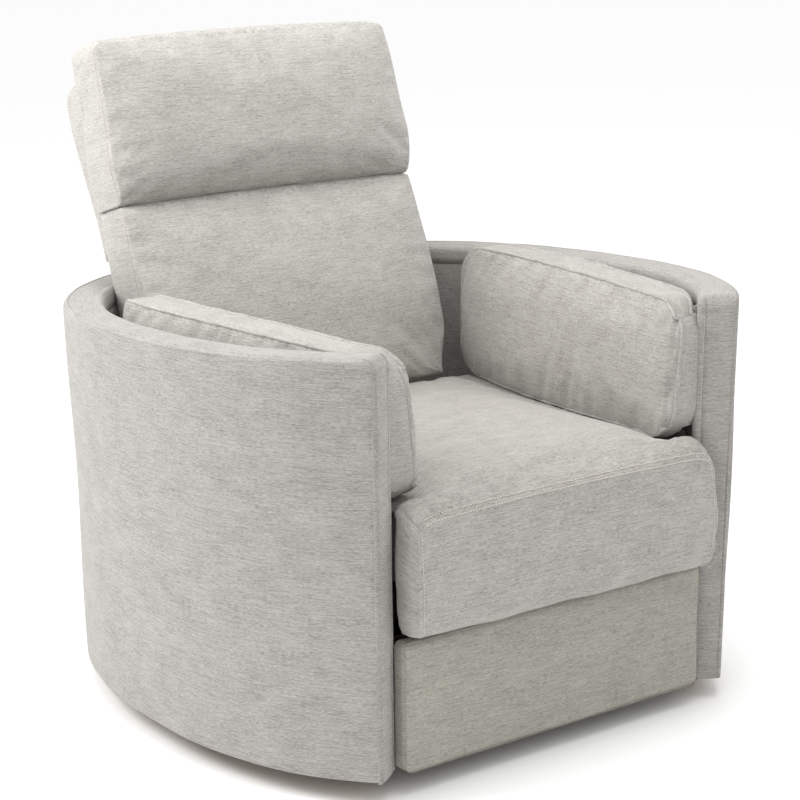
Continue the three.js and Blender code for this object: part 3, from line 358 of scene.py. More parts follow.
# Section of the band: depth in from the edge, and inset from the outer face, from seam to seam.
section = np.array([
    [.0064, .0026], [.0056, .0011], [.0047, .0008], [.0037, .0015], [.0027, .0030], [.0018, .0052],
    [.0011, .0080], [.0006, .0120], [.0002, .0170], [.0000, .0240], [.0000, .0310], [.0003, .0380],
    [.0009, .0430], [.0018, .0465], [.0018, .0484], [.0018, .0500], [.0016, .0530], [.0024, .0560],
    [.0044, .0588], [.0074, .0610], [.0120, .0618], [.0200, .0620], [.0300, .0620]])
OUTER_SEAM, ARM_SEAM = 1, 15
wave = 0.0010 * np.sin(np.arange(len(path)) * 0.21)
ease = wave[:, None] * np.exp(-((section[:, 1] - 0.03) / 0.02) ** 2)[None, :]
on_arm = np.clip((np.abs(path[:, 2]) - 0.3) / 0.6, 0, 1)
seam_groove = on_arm[:, None] * 0.0022 * np.exp(-((section[:, 1] - 0.0484) / 0.0014) ** 2)[None, :]
depth = section[None, :, 0] + ease + seam_groove
d = path[:, None, 0] + path[:, None, 2] * depth
z = path[:, None, 1] + path[:, None, 3] * depth
band_points = wall(turn_at(d), section[None, :, 1], z)
on_front = (np.abs(path[:, 2]) > 0.7)[:, None]
W, C = np.broadcast_arrays(along_path(path[:, :2])[:, None], along_path(section)[None, :])
band_uv = np.where(on_front[..., None], np.stack([C + 3, W], -1), np.stack([W, C], -1))
edge_band = piece(
    "barrel_edge_band", band_points, grid_faces(*W.shape), band_uv, barrel_chenille, "carriage",
    ["rim_roll", "arm_front_left", "arm_front_right"])
thicken(edge_band, 0.007)

# Sewing thread: bonded polyester, paler than the cloth, lying in the seam in stitches about 3 mm long.
# Its twist gives each stitch fine slanting bands of light and shade.
thread = bpy.data.materials.new("bonded_polyester_thread")
thread.use_nodes = True
tree = thread.node_tree
twist = node(tree, "ShaderNodeTexWave", {"bands_direction": "DIAGONAL"}, {
    "Vector": node(tree, "ShaderNodeTexCoord", {}, {}).outputs["Object"], "Scale": 900.0, "Distortion": 1.0})
thread_tone = node(tree, "ShaderNodeMix", {"data_type": "RGBA"}, {"Factor": twist.outputs["Fac"]})
thread_tone.inputs["A"].default_value = linear("#b5afa4")
thread_tone.inputs["B"].default_value = linear("#dcd8d0")
tree.links.new(thread_tone.outputs["Result"], tree.nodes["Principled BSDF"].inputs["Base Color"])
tree.nodes["Principled BSDF"].inputs["Roughness"].default_value = 0.55


def stitches(name, points, normals, pitch, thick, body):
    """A row of stitches: at every pitch along the path lies one short bar with pointed ends, 0.72 of the
    pitch long, half sunk in the cloth. Each bar is five rings of six points round its own line."""
    points, normals = np.asarray(points, float), np.asarray(normals, float)
    far = along_path(points)
    starts = np.arange(pitch, far[-1] - pitch, pitch)
    share = np.linspace(0.14, 0.86, 5)
    at = starts[:, None] + share[None, :] * pitch
    centre = np.stack([np.interp(at, far, points[:, k]) for k in range(3)], -1)
    out = np.stack([np.interp(at, far, normals[:, k]) for k in range(3)], -1)
    out /= np.linalg.norm(out, axis=-1, keepdims=True)
    along = np.gradient(centre, axis=1)
    along /= np.linalg.norm(along, axis=-1, keepdims=True)
    side = np.cross(along, out)
    swell = np.array([0.25, 0.85, 1.0, 0.85, 0.25])[None, :, None, None] * thick / 2
    turn = (np.arange(6) * math.pi / 3)[None, None, :, None]
    ring = np.cos(turn) * out[:, :, None] + np.sin(turn) * side[:, :, None]
    arch = (np.sin(np.pi * share) * 0.35 * thick)[None, :, None, None] * out[:, :, None]
    bars = centre[:, :, None] + arch + swell * ring
    count = len(starts)
    j, k = np.meshgrid(np.arange(4) * 6, np.arange(6), indexing="ij")
    after = (k + 1) % 6
    skin = np.stack([j + k, j + after, j + 6 + after, j + 6 + k], -1).reshape(-1, 4)
    ends = np.array([[0, 5, 4, 3], [3, 2, 1, 0], [24, 25, 26, 27], [27, 28, 29, 24]])
    one = np.concatenate([skin[:, ::-1], ends[:, ::-1]])
    faces = (one[None] + (np.arange(count) * 30)[:, None, None]).reshape(-1, 4)
    return piece(name, bars, faces, np.zeros((count * 30, 2)), thread, body)


def surface_normals(points):
    """Unit normals of a grid of points: the cross product of its two directions."""
    n = np.cross(np.gradient(points, axis=0), np.gradient(points, axis=1))
    return n / np.linalg.norm(n, axis=-1, keepdims=True)


band_out = surface_normals(band_points)
stitches("barrel_outer_stitching", band_points[:, OUTER_SEAM], band_out[:, 2], 0.0042, 0.0007, "carriage")
for hand, part in (("left", slice(0, 118)), ("right", slice(-118, None))):
    stitches(f"arm_front_stitching_{hand}", band_points[part, ARM_SEAM], band_out[part, ARM_SEAM], 0.0042,
             0.0010, "carriage")


# Lining of the barrel: the inner face of the wall, in the same cloth over thin foam, from below the edge band
# down to the arm boxes. The pillows and the back hide most of it.
LINING_FOOT, LINING_DROP, LINING_END = 0.252, 0.022, 0.012
distance = np.linspace(LINING_END, ROUND - LINING_END, 320)
lining_top = rim_at(distance) - LINING_DROP
z = LINING_FOOT + np.linspace(0, 1, 40)[:, None] * (lining_top - LINING_FOOT)[None, :]
D = np.broadcast_to(distance, z.shape)
to_edge = np.minimum(lining_top[None, :] - z, np.minimum(D, ROUND - D) - LINING_END)
tuck = 0.0022 * np.exp(-to_edge / 0.006)
lining = piece(
    "barrel_lining", wall(turn_at(D), WALL - 0.0004 - tuck, z), grid_faces(*z.shape),
    np.stack([D + 5, z], -1), barrel_chenille, "carriage", ["barrel_inner_cover"])
thicken(lining, 0.009)


# Arm boxes: on each side a padded deck on the frame carries the pillow, and an upholstered side panel stands
# between it and the seat. Both are board under thin foam, wrapped in the barrel's cloth and stapled beneath.
def box_skin(xs, ys, zs):
    """The six faces of a box as one welded grid: xs, ys and zs are its lines along each axis. Gives the points,
    the quads, facing outwards, and for each quad the axis it faces."""
    lines = [np.asarray(v, float) for v in (xs, ys, zs)]
    keys, faces, facing = [], [], []
    start = 0
    for axis in range(3):
        first, second = (axis + 1) % 3, (axis + 2) % 3
        for end in (0, len(lines[axis]) - 1):
            i, j = np.meshgrid(np.arange(len(lines[first])), np.arange(len(lines[second])), indexing="ij")
            key = np.zeros((*i.shape, 3), int)
            key[..., axis], key[..., first], key[..., second] = end, i, j
            quads = grid_faces(*i.shape)
            if end == 0:
                quads = quads[:, ::-1]
            keys.append(key.reshape(-1, 3))
            faces.append(quads + start)
            facing.append(np.full(len(quads), axis))
            start += i.size
    keys = np.concatenate(keys)
    unique, back = np.unique(keys, axis=0, return_inverse=True)
    points = np.stack([lines[k][unique[:, k]] for k in range(3)], -1)
    return points, back.reshape(-1)[np.concatenate(faces)], np.concatenate(facing)


def cloth_on_box(points, faces, facing, along_x=(1, 2), along_y=(0, 2), along_z=(0, 1)):
    """Cloth coordinates of a boxed piece: each panel is cut flat, so its cloth is laid over the two axes that
    its face spans, in metres, with the weft along the first of them."""
    choose = np.array([along_x, along_y, along_z])[facing]
    corner = points[faces]
    u = np.take_along_axis(corner, choose[:, None, :1].repeat(4, 1), 2)[..., 0]
    v = np.take_along_axis(corner, choose[:, None, 1:].repeat(4, 1), 2)[..., 0]
    return np.stack([u + facing[:, None] * 1.7, v], -1)


def eased(low, high, fine, coarse, margin):
    """Lines from low to high: spaced at fine within the margin of each end, and at coarse between."""
    ends = np.arange(0, margin, fine)
    count = max(2, int(round((high - low - 2 * margin) / coarse)) + 1)
    middle = np.linspace(low + margin, high - margin, count)
    return np.concatenate([low + ends, middle, high - ends[::-1]])


def rounded(points, low, high, radius):
    """Rounds a box: a point within the radius of two or three faces moves onto the round between them."""
    low, high = np.asarray(low), np.asarray(high)
    core = np.clip(points, low + radius, high - radius)
    off = points - core
    reach = np.abs(off).max(-1, keepdims=True)
    length = np.linalg.norm(off, axis=-1, keepdims=True)
    return core + off * reach / np.maximum(length, 1e-9)


def wall_half_width(y, inset, z):
    """Half the width of the barrel at a depth y, from a table of the wall's front quarter."""
    side = wall(turns[turns < math.pi / 2], inset, z)
    return np.interp(y, side[:, 1], side[:, 0])


BOX_FRONT, BOX_REAR, DECK_TOP, DECK_THICK = -0.345, 0.225, 0.403, 0.017
SIDE_INNER, SIDE_OUTER, SIDE_FOOT, SIDE_ROUND = 0.268, 0.278, 0.2505, 0.0045
DECK_INNER, DECK_GAP, DECK_ROUND = 0.2783, 0.0005, 0.005
for side, hand in ((1, "left"), (-1, "right")):
    low, high = np.array([SIDE_INNER, BOX_FRONT, SIDE_FOOT]), np.array([SIDE_OUTER, BOX_REAR, DECK_TOP])
    skin, faces, facing = box_skin(
        eased(low[0], high[0], .0015, .002, .003), eased(low[1], high[1], .0015, .02, .006),
        eased(low[2], high[2], .0015, .02, .006))
    shaped = rounded(skin, low, high, SIDE_ROUND) * [side, 1, 1]
    piece(f"arm_side_panel_{hand}", shaped, faces if side > 0 else faces[:, ::-1],
          cloth_on_box(skin, faces, facing), barrel_chenille, "carriage",
          [f"inner_side_panel_{hand}"])
    low, high = np.array([0.0, BOX_FRONT, DECK_TOP - DECK_THICK]), np.array([1.0, BOX_REAR, DECK_TOP])
    skin, faces, facing = box_skin(
        np.concatenate([[0, .01, .03, .06], np.linspace(.1, .9, 12), [.94, .97, .99, 1]]),
        eased(low[1], high[1], .0015, .015, .006), eased(low[2], high[2], .0015, .004, .006))
    outer = wall_half_width(skin[:, 1], 0.0635, 0.39) - DECK_GAP
    reach = skin[:, 0] * (outer - DECK_INNER)
    edge = np.minimum(reach, np.minimum(skin[:, 1] - low[1], high[1] - skin[:, 1]))
    soft = round_off(edge, DECK_ROUND)
    middle = (low[2] + high[2]) / 2
    flat = 1 - soft / 0.0085
    laid = np.stack([DECK_INNER + reach, skin[:, 1], middle + (skin[:, 2] - middle) * flat], -1)
    piece(f"arm_deck_pad_{hand}", laid * [side, 1, 1], faces if side > 0 else faces[:, ::-1],
          cloth_on_box(laid, faces, facing), barrel_chenille, "carriage",
          [f"arm_deck_{hand}"])


# Seat cushion: a crowned foam block with a soft wrap. Its cloth falls over the front in a separate panel, with
# a double row of stitching along the top of it, and ends in a lip that hangs over the head of the footrest.
# Seat chenille: the same cloth with its colour painted a shade paler, as painted light on the seat's upturned
# crown. Its weft runs across, so faint level streaks cross the front.
seat_chenille = chenille("seat_chenille_painted_paler", "#7a7771", "#9b9893", "#b0ada8", 2.3)
LIP_WIDE, SEAT_WIDE, SEAT_REAR, SEAT_UNDER = 0.283, 0.2605, 0.226, 0.3003
depths = np.concatenate([
    np.linspace(0, 0.036, 9), [0.0385, 0.0405, 0.0425], np.linspace(0.048, 0.10, 9),
    np.linspace(0.108, 0.6, 62), [0.612, 0.622, 0.629, 0.634]])
heights = np.concatenate([[0, .010, .022, .036], np.linspace(.055, .945, 44), [.958, .970, .981, .991, 1]])
widths = np.concatenate([
    [0, .0025, .006, .010, .015, .021], np.linspace(.029, .971, 74),
    [.979, .985, .990, .994, .9975, 1]]) * 2 - 1
skin, faces, facing = box_skin(widths, depths, heights)
s, b, c = skin.T


def smooth(value, low, high):
    """Rises from 0 at low to 1 at high by 3t^2 - 2t^3, and is flat outside them."""
    t = np.clip((value - low) / (high - low), 0, 1)
    return t * t * (3 - 2 * t)


def seat_shape(s, b, c):
    """Seat from three shares: s across from -1 to 1, b metres back from the front, c up from 0 to 1. The top is
    a crown that falls to the rear and to both sides, the front bulges and curls under at its foot, and the lip
    is wider and deeper than the block behind it."""
    y = -0.408 + b
    behind = smooth(y, -0.374, -0.345)
    half = LIP_WIDE + (SEAT_WIDE - LIP_WIDE) * behind
    crown = np.where(
        y < -0.30, 0.404 + 0.040 * np.maximum(1 - (np.maximum(-0.30 - y, 0) / 0.108) ** 2.2, 0) ** 0.9,
        0.444 - 0.040 * (np.maximum(y + 0.30, 0) / 0.526) ** 1.5)
    a = np.abs(s)
    fall = np.maximum(crown - 0.4065, 0) * np.clip((a - 0.48) / 0.42, 0, 1) ** 2.2
    front_fall = (0.010 * np.clip((a - 0.86) / 0.14, 0, 1) ** 3
                  - 0.006 * (1 - a ** 2) * (1 - behind) * smooth(-y, .36, .40))
    top = crown - fall * behind - front_fall * (1 - behind)
    lip_bottom = 0.2330 - 0.003 * s + 0.0012 * np.cos(s * 8.1 + 0.7) + 0.0006 * np.cos(s * 19)
    under = lip_bottom + (SEAT_UNDER - lip_bottom) * smooth(y, -0.3715, -0.3655)
    z = under + (top - under) * c
    bulge = 0.0085 * np.sin(np.pi * np.clip(c, 0, 1) ** 0.8) - 0.005 * (1 - smooth(c, 0, 0.08)) ** 2
    near_front = 1 - smooth(b, 0, 0.034)
    y = y - bulge * near_front
    side_bulge = (0.004 * np.sin(np.pi * c) - 0.005 * (1 - smooth(c, 0, 0.12)) ** 2
                  - 0.007 * smooth(c, 0.90, 1) ** 2)
    front_round = 0.007 * (1 - smooth(b, 0, 0.022)) ** 2
    over_arm = 0.0115 * smooth(z, 0.4035, 0.4050) * behind
    x = s * (half + side_bulge * (1 - behind) - front_round + over_arm) + 0.0035 * (1 - behind)
    return np.stack([x, y, z], -1)


def settle(cover, seams, pressure, most, spare):
    """Fills a sewn cover by cloth simulation. Its seams are held, the cloth between them is cut larger than the
    space by the share spare, and the filling presses from inside for 20 steps. A point moves at most this far."""
    mesh = cover.data
    start = np.empty(len(mesh.vertices) * 3)
    mesh.vertices.foreach_get("co", start)
    held = cover.vertex_groups.new(name="seams")
    held.add(np.flatnonzero(seams).tolist(), 1.0, "REPLACE")
    cloth = cover.modifiers.new("filling", "CLOTH")
    made = cloth.settings
    made.quality, made.mass = 4, 0.35
    made.tension_stiffness = made.compression_stiffness = 14
    made.shear_stiffness, made.bending_stiffness = 5, 0.6
    made.use_pressure, made.uniform_pressure_force = True, pressure
    made.vertex_group_mass, made.pin_stiffness, made.shrink_min = "seams", 1.0, -spare
    made.effector_weights.gravity = 0
    cloth.collision_settings.use_collision = False
    for step in range(1, 21):
        bpy.context.scene.frame_set(step)
    filled = cover.evaluated_get(bpy.context.evaluated_depsgraph_get()).data
    end = np.empty_like(start)
    filled.vertices.foreach_get("co", end)
    cover.modifiers.remove(cloth)
    cover.vertex_groups.remove(held)
    move = (end - start).reshape(-1, 3)
    far = np.linalg.norm(move, axis=1, keepdims=True)
    move *= most * np.tanh(far / most) / np.maximum(far, 1e-9)
    mesh.vertices.foreach_set("co", (start.reshape(-1, 3) + move).reshape(-1))
    mesh.update()
    bpy.context.scene.frame_set(1)


seat = seat_shape(s, b, c)
x, y, z = seat.T
# Loose cloth: faint drag lines run back from the front seam towards the middle of the top, and the short side
# returns of the front panel are gathered.
on_top = (smooth(c, 0.97, 1) * smooth(b, 0.02, 0.06) * (1 - smooth(b, 0.30, 0.44))
          * (1 - smooth(np.abs(s), 0.6, 0.9)))
drag = (np.sin((x + 0.62 * (y + 0.4)) * 2 * np.pi / 0.034 + 1.4 * np.sin(y * 21))
        * np.exp(-((x - 0.04) / 0.11) ** 2))
z = z + 0.0011 * on_top * drag
gather = smooth(np.abs(s), 0.985, 1) * smooth(0.06 - b, 0, 0.05) * np.sin(np.pi * c) ** 0.5
folds = np.sin(c * 24 + 1 + 3 * np.sin(c * 5)) + 0.4 * np.sin(c * 61 + b * 90)
x = x + np.sign(s) * gather * 0.0016 * folds
groove = np.exp(-((b - 0.0015) / 0.003) ** 2) * smooth(c, 0.985, 1) * 0.0022
z = z - groove
seat_cloth = cloth_on_box(np.stack([s * 0.28, b, 0.16 * c], -1), faces, facing)
seat_cushion = piece(
    "seat_cushion_cover", np.stack([x, y, z], -1), faces, seat_cloth, seat_chenille, "seat",
    ["seat_cushion"])
settle(seat_cushion, (np.abs(s) > 0.999) | (b < 0.0005) | (c < 0.001), 2.0, 0.005, 0.02)


def on_cover(cover, points, lift=0.0):
    """Drops a path onto the finished cover: the nearest point of its skin, and the normal there. Lift is how
    far above the skin the path then lies."""
    depsgraph = bpy.context.evaluated_depsgraph_get()
    tree = BVHTree.FromObject(cover, depsgraph)
    hits = [tree.find_nearest(p) for p in np.asarray(points).tolist()]
    place = np.array([h[0] for h in hits])
    normal = np.array([h[1] for h in hits])
    return place + lift * normal, normal


# Topstitching of the seat: a double row along the top of the front panel and one row down each end of it.
span = np.linspace(-0.985, 0.985, 400)
for row, back in (("lower", -0.001), ("upper", 0.0045)):
    ideal = seat_shape(span, np.full(400, max(back, 0)), np.full(400, 1.0 if back > 0 else 0.985))
    on, normal = on_cover(seat_cushion, ideal, 0.0002)
    stitches(f"seat_front_stitching_{row}", on, normal, 0.0050, 0.0019, "seat")
for hand, end in (("left", 0.975), ("right", -0.975)):
    ideal = seat_shape(np.full(120, end), np.zeros(120), np.linspace(0.03, 0.97, 120))
    on, normal = on_cover(seat_cushion, ideal, 0.0002)
    stitches(f"seat_side_stitching_{hand}", on, normal, 0.0046, 0.0012, "seat")


# Back cushions: the headrest and the lumbar cushion are two boxed, overfilled covers that meet in a deep tuck.
# Both are shaped in the leaning frame of the back: across, depth behind the front seams, and height.
# Back chenille: the same cloth with its colour painted palest, which paints the light and the bloom of the pile
# where the back leans to the light.
back_chenille = chenille("back_chenille_painted_palest", "#827f79", "#a5a29d", "#b9b7b2", 5.1)
LEAN, SEAM_DEPTH, SEAM_HEIGHT = math.radians(16.55), 0.428, 0.997


def leaning(x, depth, height):
    """From the leaning frame of the back to the chair's own axes."""
    return np.stack([x, SEAM_DEPTH + height * math.sin(LEAN) + depth * math.cos(LEAN),
                     SEAM_HEIGHT + height * math.cos(LEAN) - depth * math.sin(LEAN)], -1)


def back_cushion(name, low, high, half_width, rear, crown, edge, corner, pucker, fuller, stands_for):
    """A boxed cushion: low and high are its foot and head, half_width(height) its half width. The front panel
    swells by the crown, (1 - |s|^4)^0.6 (1 - |h|^edge)^0.55, its side seams stand up to 11 mm forward, and its
    foot as far again as fuller says. Its upper corners are rounded, its seams gather the cloth by pucker, and
    the head and foot seams are drawn in 4 mm, which makes the tuck."""
    across = eased(-1, 1, 0.006, 0.0175, 0.05)
    up_lines = eased(low, high, 0.0018, 0.0055, 0.016)
    back_lines = np.concatenate([
        [0, 0.0015, 0.003, 0.005], np.linspace(0.009, rear - 0.004, 10), [rear - 0.0018, rear]])
    skin, faces, facing = box_skin(across, back_lines, up_lines)
    s, v, u = skin.T
    h = (u - low) / (high - low) * 2 - 1
    sagged = h + 0.16 * (1 - h ** 2)
    share = v / rear
    half = half_width(u)
    swell = (crown * np.maximum(1 - np.abs(s) ** 4, 0) ** 0.6
             * np.maximum(1 - np.abs(sagged) ** edge, 0) ** 0.55)
    edge_x, edge_u = (1 - np.abs(s)) * half, np.minimum(high - u, u - low)
    gathers = pucker * (
        np.exp(-edge_x / 0.030) * (1 - np.exp(-edge_x / 0.006))
        * np.sin(u * 2 * np.pi / 0.041 + 2 * np.sin(u * 19 + s))
        + np.exp(-edge_u / 0.034) * (1 - np.exp(-edge_u / 0.006))
        * np.sin(s * half * 2 * np.pi / 0.057 + 2.2 * np.sin(s * 5 + h)))
    slack = 0.0012 * np.sin(s * 7.3 + h * 2.2 + 1) * np.sin(h * 5.1 - s * 2.4)
    low_fade = np.where((fuller > 0) & (sagged < 0), 0, np.abs(sagged) ** 4)
    forward = (0.011 * np.maximum(1 - low_fade, 0) + fuller * smooth(-h, -0.75, 0.25)) * (1 - share)
    depth = v - forward - (swell + (gathers + slack) * smooth(swell, 0, 0.006)) * (v <= 0)
    pull = 0.0045 * np.sin(np.pi * np.clip(share, 0, 1)) + 0.0035 * (1 - h ** 2)
    x = s * (half - 0.0035 + pull - 0.006 * smooth(share, 0.88, 1) ** 2)
    domed = 0.006 * (1 - s ** 2) + 0.003 * np.sin(np.pi * share)
    tall = u + np.sign(h) * np.abs(h) ** 6 * domed * (h > 0.999)
    draw = ((0.0042 + 0.0012 * np.sin(s * 17 + 3 * np.sin(s * 6)))
            * (1 - smooth(v, 0, 0.010)) * smooth(np.abs(h), 0.88, 1))
    tall = tall - np.sign(h) * draw
    cx = np.maximum(np.abs(x) - (half - corner), 0)
    cu = np.maximum(np.minimum(tall, high) - (high - corner), 0)
    over = np.maximum(np.hypot(cx, cu) - corner, 0) / np.maximum(np.hypot(cx, cu), 1e-9)
    x, tall = x - np.sign(x) * cx * over, tall - cu * over
    flat = np.stack([s * half, v, u], -1)
    made = piece(name, leaning(x, depth, tall), faces, cloth_on_box(flat, faces, facing), back_chenille,
                 "back", stands_for)
    settle(made, (np.abs(s) > 0.999) | (np.abs(h) > 0.999) | (v > 0), 2.2, 0.0045, 0.004)
    return made


CUSHION_DEEP = 0.0835
headrest = back_cushion(
    "headrest_cover", -0.2655, -0.001, lambda u: 0.2835 + 0.0065 * np.exp(-((u + 0.205) / 0.05) ** 2),
    CUSHION_DEEP, crown=0.030, edge=3.0, corner=0.026, pucker=0.0010, fuller=0.0,
    stands_for=["headrest_cushion"])
lumbar = back_cushion(
    "lumbar_cover", -0.620, -0.2675,
    lambda u: 0.2835 - 0.005 * smooth(-u, 0.30, 0.50) - 0.018 * smooth(-u, 0.53, 0.61),
    CUSHION_DEEP, crown=0.026, edge=5, corner=0.009, pucker=0.0009, fuller=0.018,
    stands_for=["lumbar_cushion"])
for name, cover, low, high, wide in (
        ("headrest", headrest, -0.262, -0.006, 0.2835), ("lumbar", lumbar, -0.575, -0.272, 0.2815)):
    for hand, side in (("left", 1), ("right", -1)):
        u = np.linspace(high, low, 200)
        on, normal = on_cover(cover, leaning(side * wide + 0 * u, 0 * u, u), 0.0002)
        stitches(f"{name}_stitching_{hand}", on, normal, 0.0046, 0.0012, "back")


# Outer back: a thin padded panel that closes the back of the frame. Its border turns forward over the frame
# to meet the cushions.
PANEL_FOOT, PANEL_HEAD, PANEL_DEEP, PANEL_CORNER, PANEL_ROUND = -0.630, -0.048, 0.058, 0.034, 0.011
across = eased(-1, 1, 0.006, 0.025, 0.06)
up_lines = eased(PANEL_FOOT, PANEL_HEAD, 0.002, 0.009, 0.022)
through = np.array([0, .0015, .004, .007, .010, .020, .030, .040, .046, .049, .052, .0545, .0565, PANEL_DEEP])
skin, faces, facing = box_skin(across, through, up_lines)
s, v, u = skin.T
half = 0.284 - 0.018 * smooth(-u, 0.10, 0.33) - 0.118 * smooth(-u, 0.338, 0.384)
half = half - round_off(PANEL_HEAD - u, PANEL_CORNER)
edge = np.minimum(np.minimum((1 - np.abs(s)) * half, PANEL_HEAD - u), u - PANEL_FOOT)
border = (1 - smooth(edge, 0.014, 0.022)) * smooth(u, -0.36, -0.335)
front = 0.0848 - 0.020 * border
rear = 0.1222 + 0.002 * np.maximum(1 - s ** 2, 0) - round_off(edge, PANEL_ROUND)
depth = front + (rear - front) * v / PANEL_DEEP
outer_back = piece(
    "outer_back_cover", leaning(s * half, depth, u), faces,
    cloth_on_box(np.stack([s * half, v, u], -1), faces, facing), back_chenille, "back",
    ["outer_back_panel"])


# Arm pillows: loose boxed cushions of soft fibre that stand on the decks against the wall. Each has two face
# panels and a gusset between them. Both seams round the gusset are felled and topstitched, so that they stand
# up as a flat ridge.
# Pillow chenille: the same cloth with its colour painted as pale as the seat's, as painted light on the pillows.
# Its streaks run along the pillow, so the long faces read calm and level.
pillow_chenille = chenille("pillow_chenille_painted_paler", "#797670", "#9b9893", "#b0ada9", 8.4)
PILLOW_FRONT, PILLOW_REAR, PILLOW_FOOT, PILLOW_HEAD = -0.361, 0.236, 0.4095, 0.6245
FACE_CORNER, SEAM_SHARE = 0.052, 0.66


def pillow_shape(a, y0, z0):
    """Pillow from its flat pattern: a goes from -1, the inner face, to 1, the outer, and y0, z0 is the place on
    an oblong whose corners are then drawn round. The inner face runs straight, and the outer one keeps 92 mm
    or a little more from it or follows the wall. Both thin towards the seams by (1 - b^4)^0.7 (1 - h^2.3)^0.7,
    and the pillow leans out and sags towards its front foot."""
    core_y = np.clip(y0, PILLOW_FRONT + FACE_CORNER, PILLOW_REAR - FACE_CORNER)
    core_z = np.clip(z0, PILLOW_FOOT + FACE_CORNER, PILLOW_HEAD - FACE_CORNER)
    off_y, off_z = y0 - core_y, z0 - core_z
    reach, length = np.maximum(np.abs(off_y), np.abs(off_z)), np.maximum(np.hypot(off_y, off_z), 1e-9)
    y, z = core_y + off_y * reach / length, core_z + off_z * reach / length
    b = np.clip(np.abs((y0 - (PILLOW_FRONT + PILLOW_REAR) / 2) / ((PILLOW_REAR - PILLOW_FRONT) / 2)), 0, 1)
    h = np.clip(np.abs((z0 - (PILLOW_FOOT + PILLOW_HEAD) / 2) / ((PILLOW_HEAD - PILLOW_FOOT) / 2)), 0, 1)
    dome = np.maximum(1 - b ** 4, 0) ** 0.7 * np.maximum(1 - h ** 2.3, 0) ** 0.7
    inner = 0.2285 + 0.067 * (y + 0.366) / 0.602
    wall_in = np.where(y < -0.350, 0.337, wall_half_width(np.maximum(y, -0.350), WALL, 0.5) - 0.0055)
    outer = np.minimum(inner + 0.0925 + 0.015 * (1 - b ** 2), wall_in) - 0.008 * smooth(y, 0.17, 0.236)
    swell = SEAM_SHARE + (1 - SEAM_SHARE) * dome
    lean = 0.0105 * (z - 0.530) / 0.1055 * (1 - 0.8 * smooth(y, 0.04, 0.22))
    x = (inner + outer) / 2 + a * (outer - inner) / 2 * swell + lean
    edge = np.minimum((1 - b) * 0.301, (1 - h) * 0.1055)
    gathers = (np.exp(-edge / 0.032) * (1 - np.exp(-edge / 0.006))
               * np.sin((y + 0.6 * z) * 148 + 2.5 * np.sin(y * 23 + 2)))
    dents = np.sin(y * 15 + 1.3) * np.sin(z * 31 + y * 9) * dome
    x = x + np.sign(a) * (np.abs(a) > 0.999) * (0.0016 * gathers + 0.0016 * dents)
    on_gusset = np.maximum(b, h) > 0.9985
    grow = (0.0055 * (1 - a ** 2)
            + 0.0022 * np.sin(y * 61 + 3 * np.sin(y * 17) + a * 2) * (1 - a ** 2)) * on_gusset
    sag = 0.004 * (1 - b ** 2) * np.clip((z - 0.50) / 0.12, 0, 1)
    sag = sag + 0.012 * (1 - smooth(z, PILLOW_FOOT, 0.52)) * smooth(-y, -0.05, 0.34)
    return np.stack([x, y + grow * off_y / length, z + grow * off_z / length + sag], -1)


def pillow_loop(count):
    """The seam line in the flat pattern: once round the oblong, its points spread evenly along each side."""
    half_y, half_z = (PILLOW_REAR - PILLOW_FRONT) / 2, (PILLOW_HEAD - PILLOW_FOOT) / 2
    corner = np.array([[1, 0], [1, 1], [-1, 1], [-1, -1], [1, -1], [1, 0]]) * [half_y, half_z]
    far = along_path(corner)
    at = np.linspace(0, far[-1], count)
    return (np.interp(at, far, corner[:, 0]) + (PILLOW_FRONT + PILLOW_REAR) / 2,
            np.interp(at, far, corner[:, 1]) + (PILLOW_FOOT + PILLOW_HEAD) / 2)


def felled_seam(name, points, normals, wide, tall, material, body):
    """The ridge of a felled seam: a low rounded strip laid along the path, wide across and tall in the middle,
    with its edges sunk in the cloth. Its section is ten points of an ellipse, and the path closes on itself."""
    points, normals = np.asarray(points), np.asarray(normals)
    along = np.gradient(points, axis=0)
    along /= np.linalg.norm(along, axis=1, keepdims=True)
    side = np.cross(along, normals)
    side /= np.linalg.norm(side, axis=1, keepdims=True)
    turn = np.linspace(0, 2 * math.pi, 11)[:-1]
    section = np.stack([np.cos(turn) * wide / 2, np.sin(turn) * tall], -1)
    ring = points[:, None] + section[None, :, :1] * side[:, None] + section[None, :, 1:] * normals[:, None]
    count = len(points)
    i, k = np.meshgrid(np.arange(count), np.arange(10), indexing="ij")
    here, there, after = i * 10, (i + 1) % count * 10, (k + 1) % 10
    faces = np.stack([here + k, here + after, there + after, there + k], -1)
    far = along_path(points)
    uv = np.stack(np.broadcast_arrays(far[:, None] + 9, (turn * 0.002)[None, :]), -1)
    return piece(name, ring, faces[..., ::-1].reshape(-1, 4), uv, material, body)


